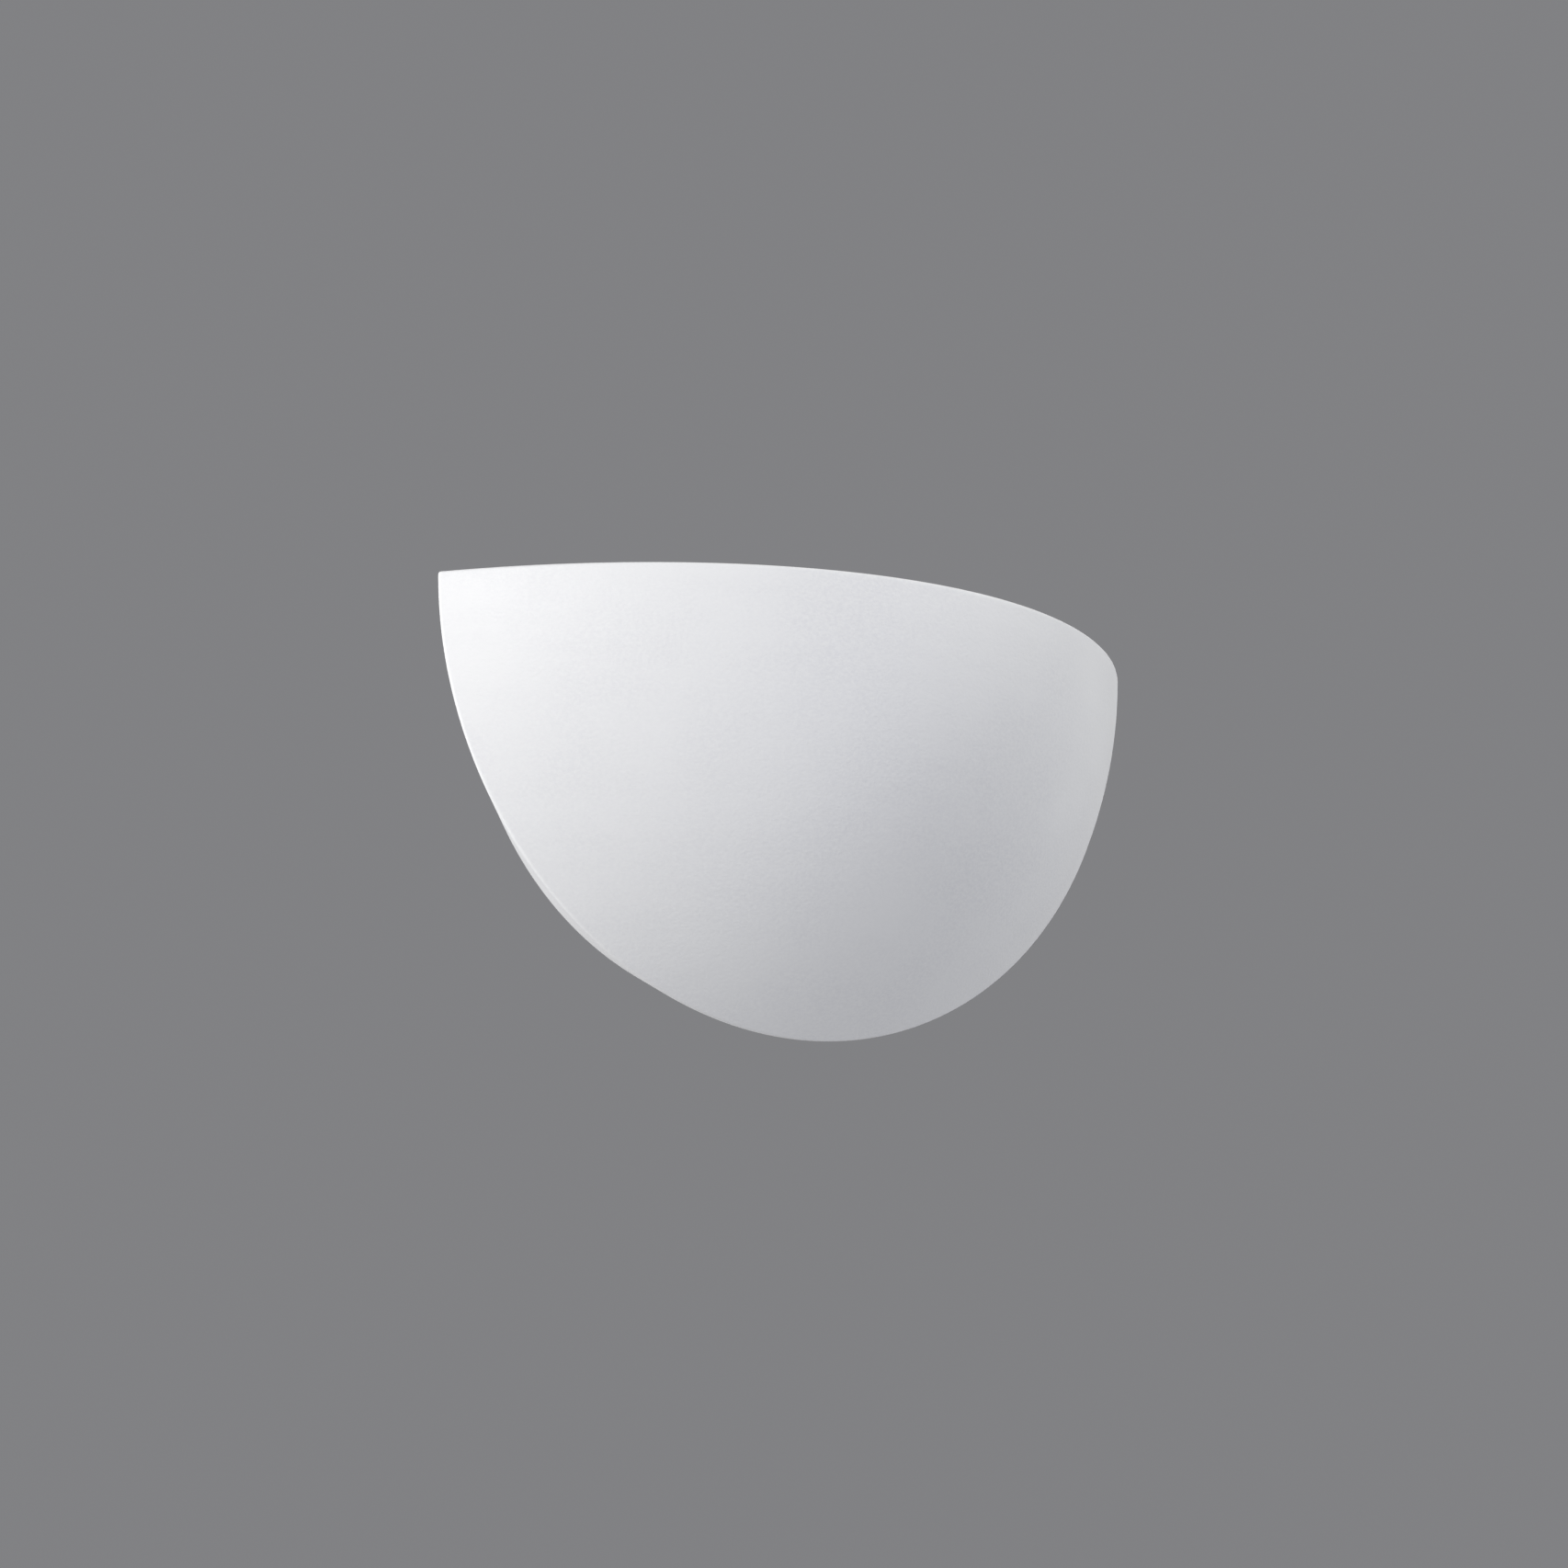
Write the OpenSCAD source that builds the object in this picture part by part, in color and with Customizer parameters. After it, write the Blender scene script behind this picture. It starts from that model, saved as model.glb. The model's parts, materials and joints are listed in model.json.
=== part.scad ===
// Uplighter wall sconce: a white ceramic half-bowl shade, open at the top and at the back,
// held by two side thumbscrews on a steel wall plate that carries an upright lamp.
// Millimetres, +Z up. The wall is the plane y = 0 and the front faces -Y.
// The origin is the midpoint between the two wall fixings, on the wall.

/* [Shade] */
// Width across the crease, which is the widest edge of the shade
shade_w = 305; // [290:1:325]
// Height from the rim down to the lowest point of the crease
shade_h = 145; // [138:1:160]
// Depth of the front dome, forward of the crease
dome_d = 94; // [84:1:110]
// Distance from the crease back to the centre of the dome's curve
dome_centre = 168; // [130:1:230]
// Depth of the tapered return, from the wall to the crease
return_d = 37; // [34:1:42]
// How far each side draws in from the crease to the back edge
side_taper = 40.5; // [36:0.5:44]
// How far the bottom rises from the crease to the back edge
foot_taper = 17; // [12:0.5:21]
// Thickness of the ceramic
shade_t = 6; // [5:0.5:7]
// Height of the rim above the middle of the wall plate
rim_z = 50; // [46:1:54]
// Thickness of the soft dots between the back edge and the wall
dot_t = 1; // [0.5:0.1:2]
// Diameter of the soft dots
dot_d = 4.5; // [3:0.1:5.5]

/* [Side fixing] */
// Distance of the thumbscrews from the wall
screw_y = 15; // [14:0.5:17]
// Thread diameter of the thumbscrews
thumb_d = 4; // [3:0.5:5]
// Diameter of the knurled head
head_d = 11; // [9:0.5:12]
// Length of the knurled head
head_h = 6; // [4:0.5:7]
// Number of grooves round the head
head_grooves = 20; // [12:1:28]
// Outer diameter of the thumbscrew washers
washer_d = 11; // [9:0.5:12]
// Thickness of the thumbscrew washers
washer_t = 1; // [0.8:0.1:1.5]
// Thickness of the ceramic floor that each washer presses on
seat_t = 8; // [6:0.5:9]
// Ceramic left round each screw pocket
pocket_wall = 4; // [3:0.5:5]
// Space round the washer in its pocket
pocket_gap = 2; // [1:0.5:3]

/* [Wall plate] */
// Thickness of the wall plate's steel
plate_t = 2; // [1.5:0.1:2.5]
// Height of the strap that runs from side to side
strap_h = 30; // [26:1:34]
// Width of the middle of the plate
middle_w = 64; // [56:1:70]
// Height of the plate's middle above its centre line
middle_up = 20; // [19:1:24]
// Depth of the plate's middle below its centre line
middle_down = 36; // [34:1:40]
// Corner radius of the plate
plate_r = 5; // [3:0.5:6]
// Distance between the centres of the two fixing slots
slot_gap = 130; // [124:1:134]
// Width of a fixing slot
slot_w = 5.2; // [4.5:0.1:6]
// Length of a fixing slot from end to end
slot_l = 14; // [10:0.5:16]
// Height of each ear
ear_h = 16; // [14:0.5:18]
// Inner radius of the folds
fold_r = 1.5; // [1:0.25:2]
// Width across the flats of the ear nuts
nut_w = 7; // [7:0.5:8]
// Thickness of the ear nuts
nut_t = 3.2; // [2.5:0.1:4]

/* [Cable entry] */
// Diameter of the raised dish in the middle of the plate
dish_d = 36; // [32:1:37]
// How far the dish stands forward
dish_up = 2.5; // [2:0.1:3]
// Bore of the grommet
grommet_bore = 8; // [6:0.5:9]
// Diameter of the hole that holds the grommet
grommet_hole = 16; // [14:0.5:18]
// Width of the grommet's lips
lip_w = 2.5; // [1.5:0.1:3]
// Thickness of the grommet's back lip
back_lip_t = 1.5; // [1:0.1:1.8]
// Thickness of the grommet's front lip
front_lip_t = 2; // [1.5:0.1:3]

/* [Lamp bracket] */
// Thickness of the bracket's steel
bracket_t = 1.5; // [1.2:0.1:2]
// Width of the bracket's arm and shelf
arm_w = 28; // [26:0.5:32]
// Width of the flange that is screwed to the plate
flange_w = 46; // [42:1:54]
// Height of the flange
flange_h = 14; // [12:0.5:15]
// Distance of the lamp's axis from the wall
lamp_y = 50; // [48:0.5:52]
// How far the shelf runs on past the lamp's axis
shelf_past = 16; // [14:0.5:17]
// Free height between the shelf and the ceramic under it
shelf_clear = 5.5; // [4:0.5:7]
// Corner radius of the flange
flange_r = 3; // [2:0.5:5]
// Distance from the flange to the bottom edge of the plate
flange_inset = 2; // [1:0.5:4]
// Distance between the two screws of the flange
flange_screw_gap = 32; // [28:1:34]

/* [Lampholder] */
// Height of the porcelain body
holder_h = 38; // [36:0.5:40]
// Diameter of the body's foot
foot_d = 32; // [30:0.5:34]
// Height of the body's foot
foot_h = 6; // [5:0.5:8]
// Diameter of the body's waist
waist_d = 28; // [26:0.5:30]
// Diameter of the body's mouth
mouth_d = 25; // [23:0.5:27]
// Height at which the mouth's diameter starts
mouth_z = 20; // [18:0.5:24]
// Diameter of the contact chamber
chamber_d = 13.6; // [13.2:0.1:14]
// Thickness of the floor under the contact chamber
floor_t = 5; // [4:0.5:6]
// Inner diameter of the screw sleeve
sleeve_d = 14.3; // [14.2:0.05:14.6]
// Thickness of the sleeve's metal
sleeve_t = 0.6; // [0.4:0.1:0.8]
// Length of the sleeve
sleeve_l = 23; // [21:0.5:24]
// Distance between the two screws under the holder
foot_screw_gap = 22; // [20:0.5:23]

/* [Bulb] */
// Diameter of the bulb's globe
globe_d = 45; // [40:1:46]
// Height of the bulb above its screw cap
bulb_h = 56; // [52:1:58]
// Outer diameter of the screw cap's thread
cap_d = 13.9; // [13.6:0.05:14]
// Length of the screw cap
cap_l = 18; // [16:0.5:19]
// Pitch of the screw cap's thread
cap_pitch = 2.82; // [2.8:0.01:2.84]
// Height of the black insulator under the cap
insulator_h = 3.4; // [2.5:0.1:4]
// Diameter of the contact tip
tip_d = 5; // [4:0.1:6]
// Height of the contact tip
tip_h = 1.1; // [0.8:0.1:1.5]
// Height of the bulb's white collar
collar_h = 21; // [18:0.5:24]
// Diameter of the collar where it meets the cap
collar_d = 17; // [15:0.5:18]

/* [Wiring] */
// Distance of the terminal block's middle from the centre of the plate
block_x = 38; // [36:0.5:39]
// Distance between neighbouring terminals
pole_gap = 10.5; // [10.5:0.25:11]
// Length of a terminal from wire to wire
block_l = 18; // [16:0.5:20]
// Height of the terminal block's base
block_base = 3; // [2:0.5:4]
// Outer diameter of the insulation round each terminal
barrel_d = 8; // [7.5:0.1:8.5]
// Height of the terminal block from the plate to the top of its screw wells
block_h = 14; // [13:0.5:16]
// Outer diameter of the brass tubes
tube_d = 4.6; // [4.2:0.1:4.8]
// Bore of the brass tubes
tube_bore = 3; // [2.8:0.1:3.2]
// Diameter of the leads over their insulation
lead_d = 2.6; // [2.2:0.1:3]
// Distance of the earth screw from the centre of the plate
earth_x = 40; // [36:0.5:44]

/* [Hidden] */
$fn = 64;

poles = [-1, 0, 1];     // terminals, counted from the middle one
sides = [-1, 1];        // left and right
over = 1;               // how far a cut runs past a face
big = 400;              // larger than the whole sconce
shade_facets = 200;     // smoothness of the shade's outline

// Clearances
seat_gap = 0.2;         // between the washers and the ceramic
ear_gap = 0.3;          // between the ears and the ceramic
ear_room = 1.5;         // round the ears in the ceramic
shank_gap = 0.3;        // between the thumbscrews and the ceramic slots
thread_gap = 0.05;      // between a screw and its thread or nut
hole_gap = 0.2;         // between a screw and a plain hole
fit_gap = 0.1;          // between pieces pushed into each other
bulb_gap = 0.3;         // between the bulb and the holder

// Screws
machine_d = 4;          // flange and earth screws
machine_head_d = 7;
machine_head_h = 2.4;
small_d = 3;            // holder and terminal block screws
small_head_d = 5.5;
small_head_h = 1.8;
driver_w = 0.8;         // width of a screwdriver slot
driver_d = 0.9;         // depth of a screwdriver slot

// Shade
shade_half = shade_w / 2;
back_half = shade_half - side_taper;
back_h = shade_h - foot_taper;
return_l = return_d - dot_t;
dome_reach = dome_d + dome_centre;
dome_swell = shade_half / sqrt(1 - pow(dome_centre / dome_reach, 2));
side_slope = side_taper / return_l;
foot_slope = foot_taper / return_l;
dome_slope = pow(dome_swell / dome_reach, 2) * dome_centre / shade_half;
side_wall = shade_t * sqrt(1 + pow(side_slope, 2));
foot_wall = shade_t * sqrt(1 + pow(foot_slope, 2));
dome_wall = shade_t * sqrt(1 + pow(dome_slope, 2));
inner_half = shade_half - (dome_wall + side_wall) / 2;
inner_h = shade_h - (dome_wall + foot_wall) / 2;
inner_back_half = back_half - side_wall;
inner_back_h = back_h - foot_wall;

// How far an elliptic back edge of the crease's proportions is lowered to reach its depth
function back_sag(half_w, drop, back_half_w, back_drop) = back_drop - back_half_w * drop / half_w;
outer_sag = back_sag(shade_half, shade_h, back_half, back_h);
inner_sag = back_sag(inner_half, inner_h, inner_back_half, inner_back_h);

// Half width of the back edge at a height in the object's frame
function back_edge_x(z) =
  back_half * sqrt(1 - pow((rim_z - z - outer_sag) / (back_h - outer_sag), 2));

// Depth of the dome's inside below the rim at a distance from the wall
function dome_floor(y) =
  (dome_d - shade_t < y - return_d) ? 0 :
  inner_h * sqrt(1 - pow((y - return_d + dome_centre) / (dome_reach - shade_t), 2))
  / sqrt(1 - pow(dome_centre / (dome_reach - shade_t), 2));

// Side fixing
seat_x = back_edge_x(0) + seat_gap;
seat_inner_x = seat_x - seat_t;
ear_x = seat_inner_x - ear_gap;
pocket_d = max(washer_d, head_d) + 2 * pocket_gap;
thumb_l = seat_gap + seat_t + ear_gap + plate_t + nut_t + 1.5;

// Wall plate and lamp
slot_margin = 8;        // full height of the strap kept past each slot
dish_front = plate_t + dish_up;
grommet_lip_d = grommet_hole + 2 * lip_w;
shelf_y = lamp_y + shelf_past;
shelf_z = rim_z - min(inner_back_h, dome_floor(shelf_y)) + shelf_clear;
holder_z = shelf_z + bracket_t;
bulb_z = holder_z + holder_h + bulb_gap;
tip_z = bulb_z - cap_l - insulator_h - tip_h;
globe_z = bulb_h - globe_d / 2;
collar_top_d = 2 * sqrt(pow(globe_d / 2, 2) - pow(globe_z - collar_h, 2));
flange_z = -middle_down + flange_inset + flange_h / 2;
foot_cut = 6;           // depth of the fixing holes in the porcelain
sleeve_z = holder_z + holder_h - sleeve_l - 0.5;
sleeve_room = sleeve_d + 2 * sleeve_t + 2 * fit_gap;
contact_w = 3.5;        // width of the contact strips
contact_t = 0.5;        // thickness of the contact strips
lead_hole_x = 3;        // distance of the lead holes from the holder's middle
lead_hole_z = 3.5;      // height of the lead holes above the chamber's floor
tail_y = -lamp_y + chamber_d / 2 - 2.2;

// Terminal block
tube_y = block_base + barrel_d / 2;
tube_l = block_l - 4;
well_d = 4.2;
well_z = tube_l / 4;
terminal_screw_d = 2.4;
terminal_head_d = 3.6;
block_head_d = 4.2;

// Earth point
earth_washer_t = 0.8;
earth_ring_t = 0.8;
earth_ring_d = 8.5;
earth_barrel_d = 4;
earth_barrel_l = 8;
earth_stack = plate_t + earth_washer_t + earth_ring_t;
earth_barrel_y = -earth_stack + earth_ring_t - earth_barrel_d / 2;

// A rectangle with round corners, centred on the origin
module round_rect(w, h, r) {
  square([w - 2 * r, h], center = true);
  square([w, h - 2 * r], center = true);
  for (x = sides, z = sides)
    translate([x * (w / 2 - r), z * (h / 2 - r)]) circle(r = r);
}

// A slot with round ends, centred on the origin
module slot_shape(l, w) {
  square([l - w, w], center = true);
  for (x = sides) translate([x * (l - w) / 2, 0]) circle(d = w);
}

// Stands a flat shape up on the wall and gives it a thickness towards the front
module from_wall(y, t) {
  translate([0, -y, 0]) rotate([90, 0, 0]) linear_extrude(height = t) children();
}

// A round bar along X, from x towards +X
module bar_x(x, l, d) {
  translate([x, 0, 0]) rotate([0, 90, 0]) cylinder(d = d, h = l);
}

// A round bar pointing away from the wall, from y towards the front
module bar_y(y, l, d) {
  translate([0, -y, 0]) rotate([90, 0, 0]) cylinder(d = d, h = l);
}

// A quarter bend of sheet round the Z axis, from +X to +Y, with a tongue into the sheet at each end
module bend(t, r, w) {
  rotate_extrude(angle = 90) translate([r, -w / 2]) square([t, w]);
  translate([r + t / 4, -t / 2, -w / 2]) cube([t / 2, t, w]);
  translate([-t / 2, r + t / 4, -w / 2]) cube([t, t / 2, w]);
}

// A slotted cheese-head screw with its head's seat at the origin and its shank towards -Z
module slot_screw(shank_d, shank_l, screw_head_d, screw_head_h) {
  difference() {
    union() {
      translate([0, 0, -shank_l]) cylinder(d = shank_d, h = shank_l + over / 2);
      cylinder(d = screw_head_d, h = screw_head_h);
    }
    translate([-screw_head_d, -driver_w / 2, screw_head_h - driver_d])
      cube([2 * screw_head_d, driver_w, 2 * driver_d]);
  }
}

// The dome: half an ellipse's arc turned round the Y axis and flattened to the shade's height
module dome(half_w, drop, depth) {
  reach = depth + dome_centre;
  swell = half_w / sqrt(1 - pow(dome_centre / reach, 2));
  translate([0, -return_d, 0])
  scale([1, 1, drop / half_w])
  rotate([90, 0, 0])
  rotate_extrude($fn = shade_facets)
  intersection() {
    translate([0, -dome_centre]) scale([1, reach / swell]) circle(r = swell, $fn = shade_facets * 2);
    square([half_w, depth + over]);
  }
}

// The return: an oblique elliptic cone from the back edge to the crease
module taper(half_w, drop, back_half_w, back_drop, extra) {
  sag = back_sag(half_w, drop, back_half_w, back_drop);
  slope = (half_w - back_half_w) / return_l;
  multmatrix([
    [1, 0, 0, 0],
    [0, 1, 0, 0],
    [0, -sag / return_l, 1, -sag * return_d / return_l],
    [0, 0, 0, 1]
  ])
  translate([0, extra - dot_t, 0])
  scale([1, 1, drop / half_w])
  rotate([90, 0, 0])
  cylinder(r1 = back_half_w - extra * slope, r2 = half_w, h = return_l + extra, $fn = shade_facets);
}

// The space that the shade takes up, with the rim at z = 0
module shade_outside() {
  dome(shade_half, shade_h, dome_d);
  taper(shade_half, shade_h, back_half, back_h, 0);
}

// The hollow inside the shade, with the rim at z = 0
module shade_inside() {
  dome(inner_half, inner_h, dome_d - shade_t);
  taper(inner_half, inner_h, inner_back_half, inner_back_h, over);
}

// A bar along X at a thumbscrew, with a flat side run back to the wall
module screw_channel(x, l, d) {
  translate([0, -screw_y, 0]) bar_x(x, l, d);
  translate([x, -screw_y, -d / 2]) cube([l, screw_y + over, d]);
}

module shade_shell() {
  color("white")
  difference() {
    translate([0, 0, rim_z])
    intersection() {
      translate([-big / 2, -big / 2, -big]) cube([big, big, big]);
      union() {
        difference() {
          shade_outside();
          shade_inside();
        }
        intersection() {
          shade_outside();
          for (side = sides) scale([side, 1, 1]) translate([0, 0, -rim_z])
            screw_channel(seat_inner_x, shade_half, pocket_d + 2 * pocket_wall);
        }
      }
    }
    for (side = sides) scale([side, 1, 1]) {
      screw_channel(seat_x, shade_half, pocket_d);
      screw_channel(0, shade_half, thumb_d + 2 * shank_gap);
      translate([0, -screw_y - ear_h / 2 - ear_room, -ear_h / 2 - ear_room])
        cube([seat_inner_x, big, ear_h + 2 * ear_room]);
    }
  }
}

module back_dots() {
  dot_angles = [-95, -32, 32, 95];
  mid_x = (back_half + inner_back_half) / 2;
  mid_z = (back_h - outer_sag + inner_back_h - inner_sag) / 2;
  mid_sag = (outer_sag + inner_sag) / 2;
  color("gainsboro")
  for (a = dot_angles)
    translate([mid_x * sin(a), 0, rim_z - mid_sag - mid_z * cos(a)]) bar_y(0, dot_t, dot_d);
}

module washer() {
  translate([0, -screw_y, 0])
  difference() {
    bar_x(seat_x + seat_gap, washer_t, washer_d);
    bar_x(seat_x - over, washer_t + 2 * over + seat_gap, thumb_d + 2 * hole_gap);
  }
}

module left_washer() { color("silver") mirror([1, 0, 0]) washer(); }
module right_washer() { color("silver") washer(); }

module thumbscrew() {
  head_x = seat_x + seat_gap + washer_t;
  groove_d = 1.2;
  chamfer = 0.8;
  translate([head_x, -screw_y, 0]) rotate([0, 90, 0]) {
    difference() {
      intersection() {
        cylinder(d = head_d, h = head_h);
        cylinder(d1 = head_d + 2 * (head_h - chamfer), d2 = head_d - 2 * chamfer, h = head_h);
      }
      for (i = [0 : head_grooves - 1]) rotate(i * 360 / head_grooves)
        translate([head_d / 2 + groove_d / 4, 0, over]) cylinder(d = groove_d, h = head_h, $fn = 16);
      translate([0, 0, head_h - over]) cylinder(d = head_d / 2, h = 2 * over);
    }
    translate([0, 0, -thumb_l + thumb_d / 4]) cylinder(d = thumb_d, h = thumb_l);
    translate([0, 0, -thumb_l]) cylinder(d1 = thumb_d / 2, d2 = thumb_d, h = thumb_d / 4);
  }
}

module left_thumbscrew() { color("gold") mirror([1, 0, 0]) thumbscrew(); }
module right_thumbscrew() { color("gold") thumbscrew(); }

// The strap from side to side, drawn in to the height of the ears at its ends
module strap_shape(half_w) {
  full = slot_gap / 2 + slot_l / 2 + slot_margin;
  for (side = sides) scale([side, 1]) polygon([
    [0, -strap_h / 2], [full, -strap_h / 2], [half_w, -ear_h / 2],
    [half_w, ear_h / 2], [full, strap_h / 2], [0, strap_h / 2]
  ]);
}

module wall_plate() {
  fold = fold_r + plate_t;
  middle_h = middle_up + middle_down;
  color("lightgray")
  difference() {
    union() {
      from_wall(0, plate_t) {
        strap_shape(ear_x - fold);
        translate([0, (middle_up - middle_down) / 2]) round_rect(middle_w, middle_h, plate_r);
      }
      bar_y(0, dish_front, dish_d);
      for (side = sides) scale([side, 1, 1]) {
        translate([ear_x - fold, -fold, 0]) bend(plate_t, fold_r, ear_h);
        translate([ear_x - plate_t, 0, 0]) {
          translate([0, -screw_y, -ear_h / 2]) cube([plate_t, screw_y - fold, ear_h]);
          translate([0, -screw_y, 0]) bar_x(0, plate_t, ear_h);
        }
      }
    }
    bar_y(-over, dish_up + over, dish_d - 2 * plate_t);
    bar_y(0, big, grommet_hole);
    for (side = sides) scale([side, 1, 1]) {
      translate([slot_gap / 2, 0, 0]) from_wall(-over, plate_t + 2 * over) slot_shape(slot_l, slot_w);
      translate([0, -screw_y, 0]) bar_x(ear_x - big / 4, big / 2, thumb_d + 2 * hole_gap);
      translate([flange_screw_gap / 2, 0, flange_z]) bar_y(-over, big, machine_d + 2 * thread_gap);
    }
    for (side = sides) translate([block_x + side * pole_gap / 2, 0, 0])
      bar_y(-over, big, small_d + 2 * thread_gap);
    translate([-earth_x, 0, 0]) bar_y(-over, big, machine_d + 2 * thread_gap);
  }
}

module ear_nuts() {
  color("silver")
  for (side = sides) scale([side, 1, 1]) translate([0, -screw_y, 0])
  difference() {
    translate([ear_x - plate_t - nut_t, 0, 0]) rotate([0, 90, 0])
      cylinder(d = nut_w / cos(30), h = nut_t, $fn = 6);
    bar_x(0, big, thumb_d + 2 * thread_gap);
  }
}

module cable_grommet() {
  color("dimgray")
  difference() {
    union() {
      bar_y(dish_up - back_lip_t, back_lip_t, grommet_lip_d);
      bar_y(dish_up - back_lip_t, back_lip_t + plate_t + front_lip_t, grommet_hole - 2 * fit_gap);
      bar_y(dish_front, front_lip_t, grommet_lip_d);
    }
    bar_y(-over, big, grommet_bore);
  }
}

module lamp_bracket() {
  fold = fold_r + bracket_t;
  front = plate_t + bracket_t;
  color("lightgray")
  difference() {
    union() {
      from_wall(plate_t, bracket_t) {
        translate([0, flange_z]) round_rect(flange_w, flange_h, flange_r);
        translate([-arm_w / 2, shelf_z + fold]) square([arm_w, flange_z - shelf_z - fold]);
      }
      translate([0, -plate_t - fold, shelf_z + fold]) rotate([0, 90, 0])
        bend(bracket_t, fold_r, arm_w);
      translate([-arm_w / 2, -lamp_y, shelf_z]) cube([arm_w, lamp_y - plate_t - fold, bracket_t]);
      translate([0, -lamp_y, shelf_z]) linear_extrude(height = bracket_t) intersection() {
        circle(r = shelf_past);
        translate([-arm_w / 2, -big]) square([arm_w, big]);
      }
    }
    for (side = sides) {
      translate([side * flange_screw_gap / 2, 0, flange_z]) bar_y(0, big, machine_d + 2 * hole_gap);
      translate([side * foot_screw_gap / 2, -lamp_y, shelf_z - over])
        cylinder(d = small_d + 2 * hole_gap, h = bracket_t + 2 * over);
    }
  }
}

module bracket_screws() {
  color("silver")
  for (side = sides) translate([side * flange_screw_gap / 2, -plate_t - bracket_t, flange_z])
    rotate([90, 0, 0]) slot_screw(machine_d, plate_t + bracket_t - fit_gap, machine_head_d, machine_head_h);
}

module holder_body() {
  wall_y = -lamp_y + foot_d / 2 + over;
  color("ivory")
  difference() {
    translate([0, -lamp_y, holder_z]) rotate_extrude() polygon([
      [0, 0], [foot_d / 2, 0], [foot_d / 2, foot_h - 1], [foot_d / 2 - 1, foot_h],
      [waist_d / 2, foot_h], [waist_d / 2, mouth_z - 1], [mouth_d / 2, mouth_z],
      [mouth_d / 2, holder_h - 1], [mouth_d / 2 - 1, holder_h], [0, holder_h]
    ]);
    translate([0, -lamp_y, sleeve_z]) cylinder(d = sleeve_room, h = holder_h);
    translate([0, -lamp_y, holder_z + floor_t]) cylinder(d = chamber_d, h = holder_h);
    for (side = sides) {
      translate([side * foot_screw_gap / 2, -lamp_y, holder_z - over])
        cylinder(d = small_d + 2 * thread_gap, h = foot_cut + over);
      translate([side * lead_hole_x, 0, holder_z + floor_t + lead_hole_z])
        bar_y(-wall_y, wall_y - tail_y, lead_d + 2 * hole_gap);
    }
  }
}

// A flat strip that drops from a height to the end of a lead
module contact_tail(side, top_z) {
  z = holder_z + floor_t + lead_hole_z - contact_w / 2;
  translate([side * lead_hole_x - contact_w / 2, tail_y - contact_t, z])
    cube([contact_w, contact_t, top_z - z]);
}

module holder_sleeve() {
  tab_y = tail_y - contact_t;
  color("silver") {
    translate([0, -lamp_y, sleeve_z]) difference() {
      cylinder(d = sleeve_d + 2 * sleeve_t, h = sleeve_l);
      translate([0, 0, -over]) cylinder(d = sleeve_d, h = sleeve_l + 2 * over);
    }
    contact_tail(-1, sleeve_z + contact_t);
    translate([-lead_hole_x - contact_w / 2, tab_y, sleeve_z]) intersection() {
      cube([contact_w, chamber_d, contact_t]);
      translate([lead_hole_x + contact_w / 2, -lamp_y - tab_y, 0])
        cylinder(d = sleeve_d + sleeve_t, h = contact_t);
    }
  }
}

module holder_contact() {
  base_z = holder_z + floor_t;
  leaf_rise = tip_z - bulb_gap - base_z - contact_t;
  leaf_x = 4.5;
  leaf_l = sqrt(pow(leaf_rise, 2) + pow(leaf_x, 2));
  color("gold") {
    translate([-leaf_x, -lamp_y - contact_w / 2, base_z])
      cube([leaf_x + lead_hole_x + contact_w / 2, contact_w, contact_t]);
    translate([lead_hole_x - contact_w / 2, -lamp_y, base_z])
      cube([contact_w, tail_y + lamp_y, contact_t]);
    contact_tail(1, base_z + lead_hole_z + contact_w / 2);
    translate([lead_hole_x - contact_w / 2, tail_y - contact_t, base_z])
      cube([contact_w, contact_t, lead_hole_z]);
    translate([-leaf_x, -lamp_y - contact_w / 2, base_z])
      rotate([0, -atan2(leaf_rise, leaf_x), 0]) cube([leaf_l, contact_w, contact_t]);
    translate([0, -lamp_y, tip_z - bulb_gap - contact_t]) cylinder(d = tip_d, h = contact_t);
  }
}

module holder_screws() {
  color("silver")
  for (side = sides) translate([side * foot_screw_gap / 2, -lamp_y, shelf_z])
    rotate([180, 0, 0]) slot_screw(small_d, bracket_t + foot_cut - over, small_head_d, small_head_h);
}

// The bulb's pieces are turned round the lamp's axis, with the top of the cap at z = 0
module on_bulb() { translate([0, -lamp_y, bulb_z]) children(); }

module bulb_globe() {
  color("lightyellow")
  on_bulb() intersection() {
    translate([0, 0, globe_z]) sphere(d = globe_d);
    translate([0, 0, collar_h]) cylinder(d = big, h = big);
  }
}

module bulb_collar() {
  shoulder = 3;
  color("white")
  on_bulb() {
    cylinder(d = collar_d, h = shoulder);
    translate([0, 0, shoulder])
      cylinder(d1 = collar_d, d2 = collar_top_d, h = collar_h - shoulder);
  }
}

module bulb_cap() {
  ridge = 0.45;
  ridges = floor(cap_l / cap_pitch) - 1;
  color("silver")
  on_bulb() difference() {
    translate([0, 0, -cap_l]) cylinder(d = cap_d, h = cap_l);
    for (i = [0 : ridges - 1]) translate([0, 0, -cap_l + (i + 1) * cap_pitch])
      rotate_extrude() translate([cap_d / 2 + ridge, 0]) circle(r = 2 * ridge, $fn = 24);
  }
}

module bulb_insulator() {
  color("black")
  on_bulb() translate([0, 0, -cap_l - insulator_h])
    cylinder(d1 = tip_d + 1.6, d2 = cap_d - 2, h = insulator_h);
}

module bulb_tip() {
  color("silver")
  on_bulb() translate([0, 0, -cap_l - insulator_h - tip_h]) cylinder(d = tip_d, h = tip_h);
}

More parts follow.
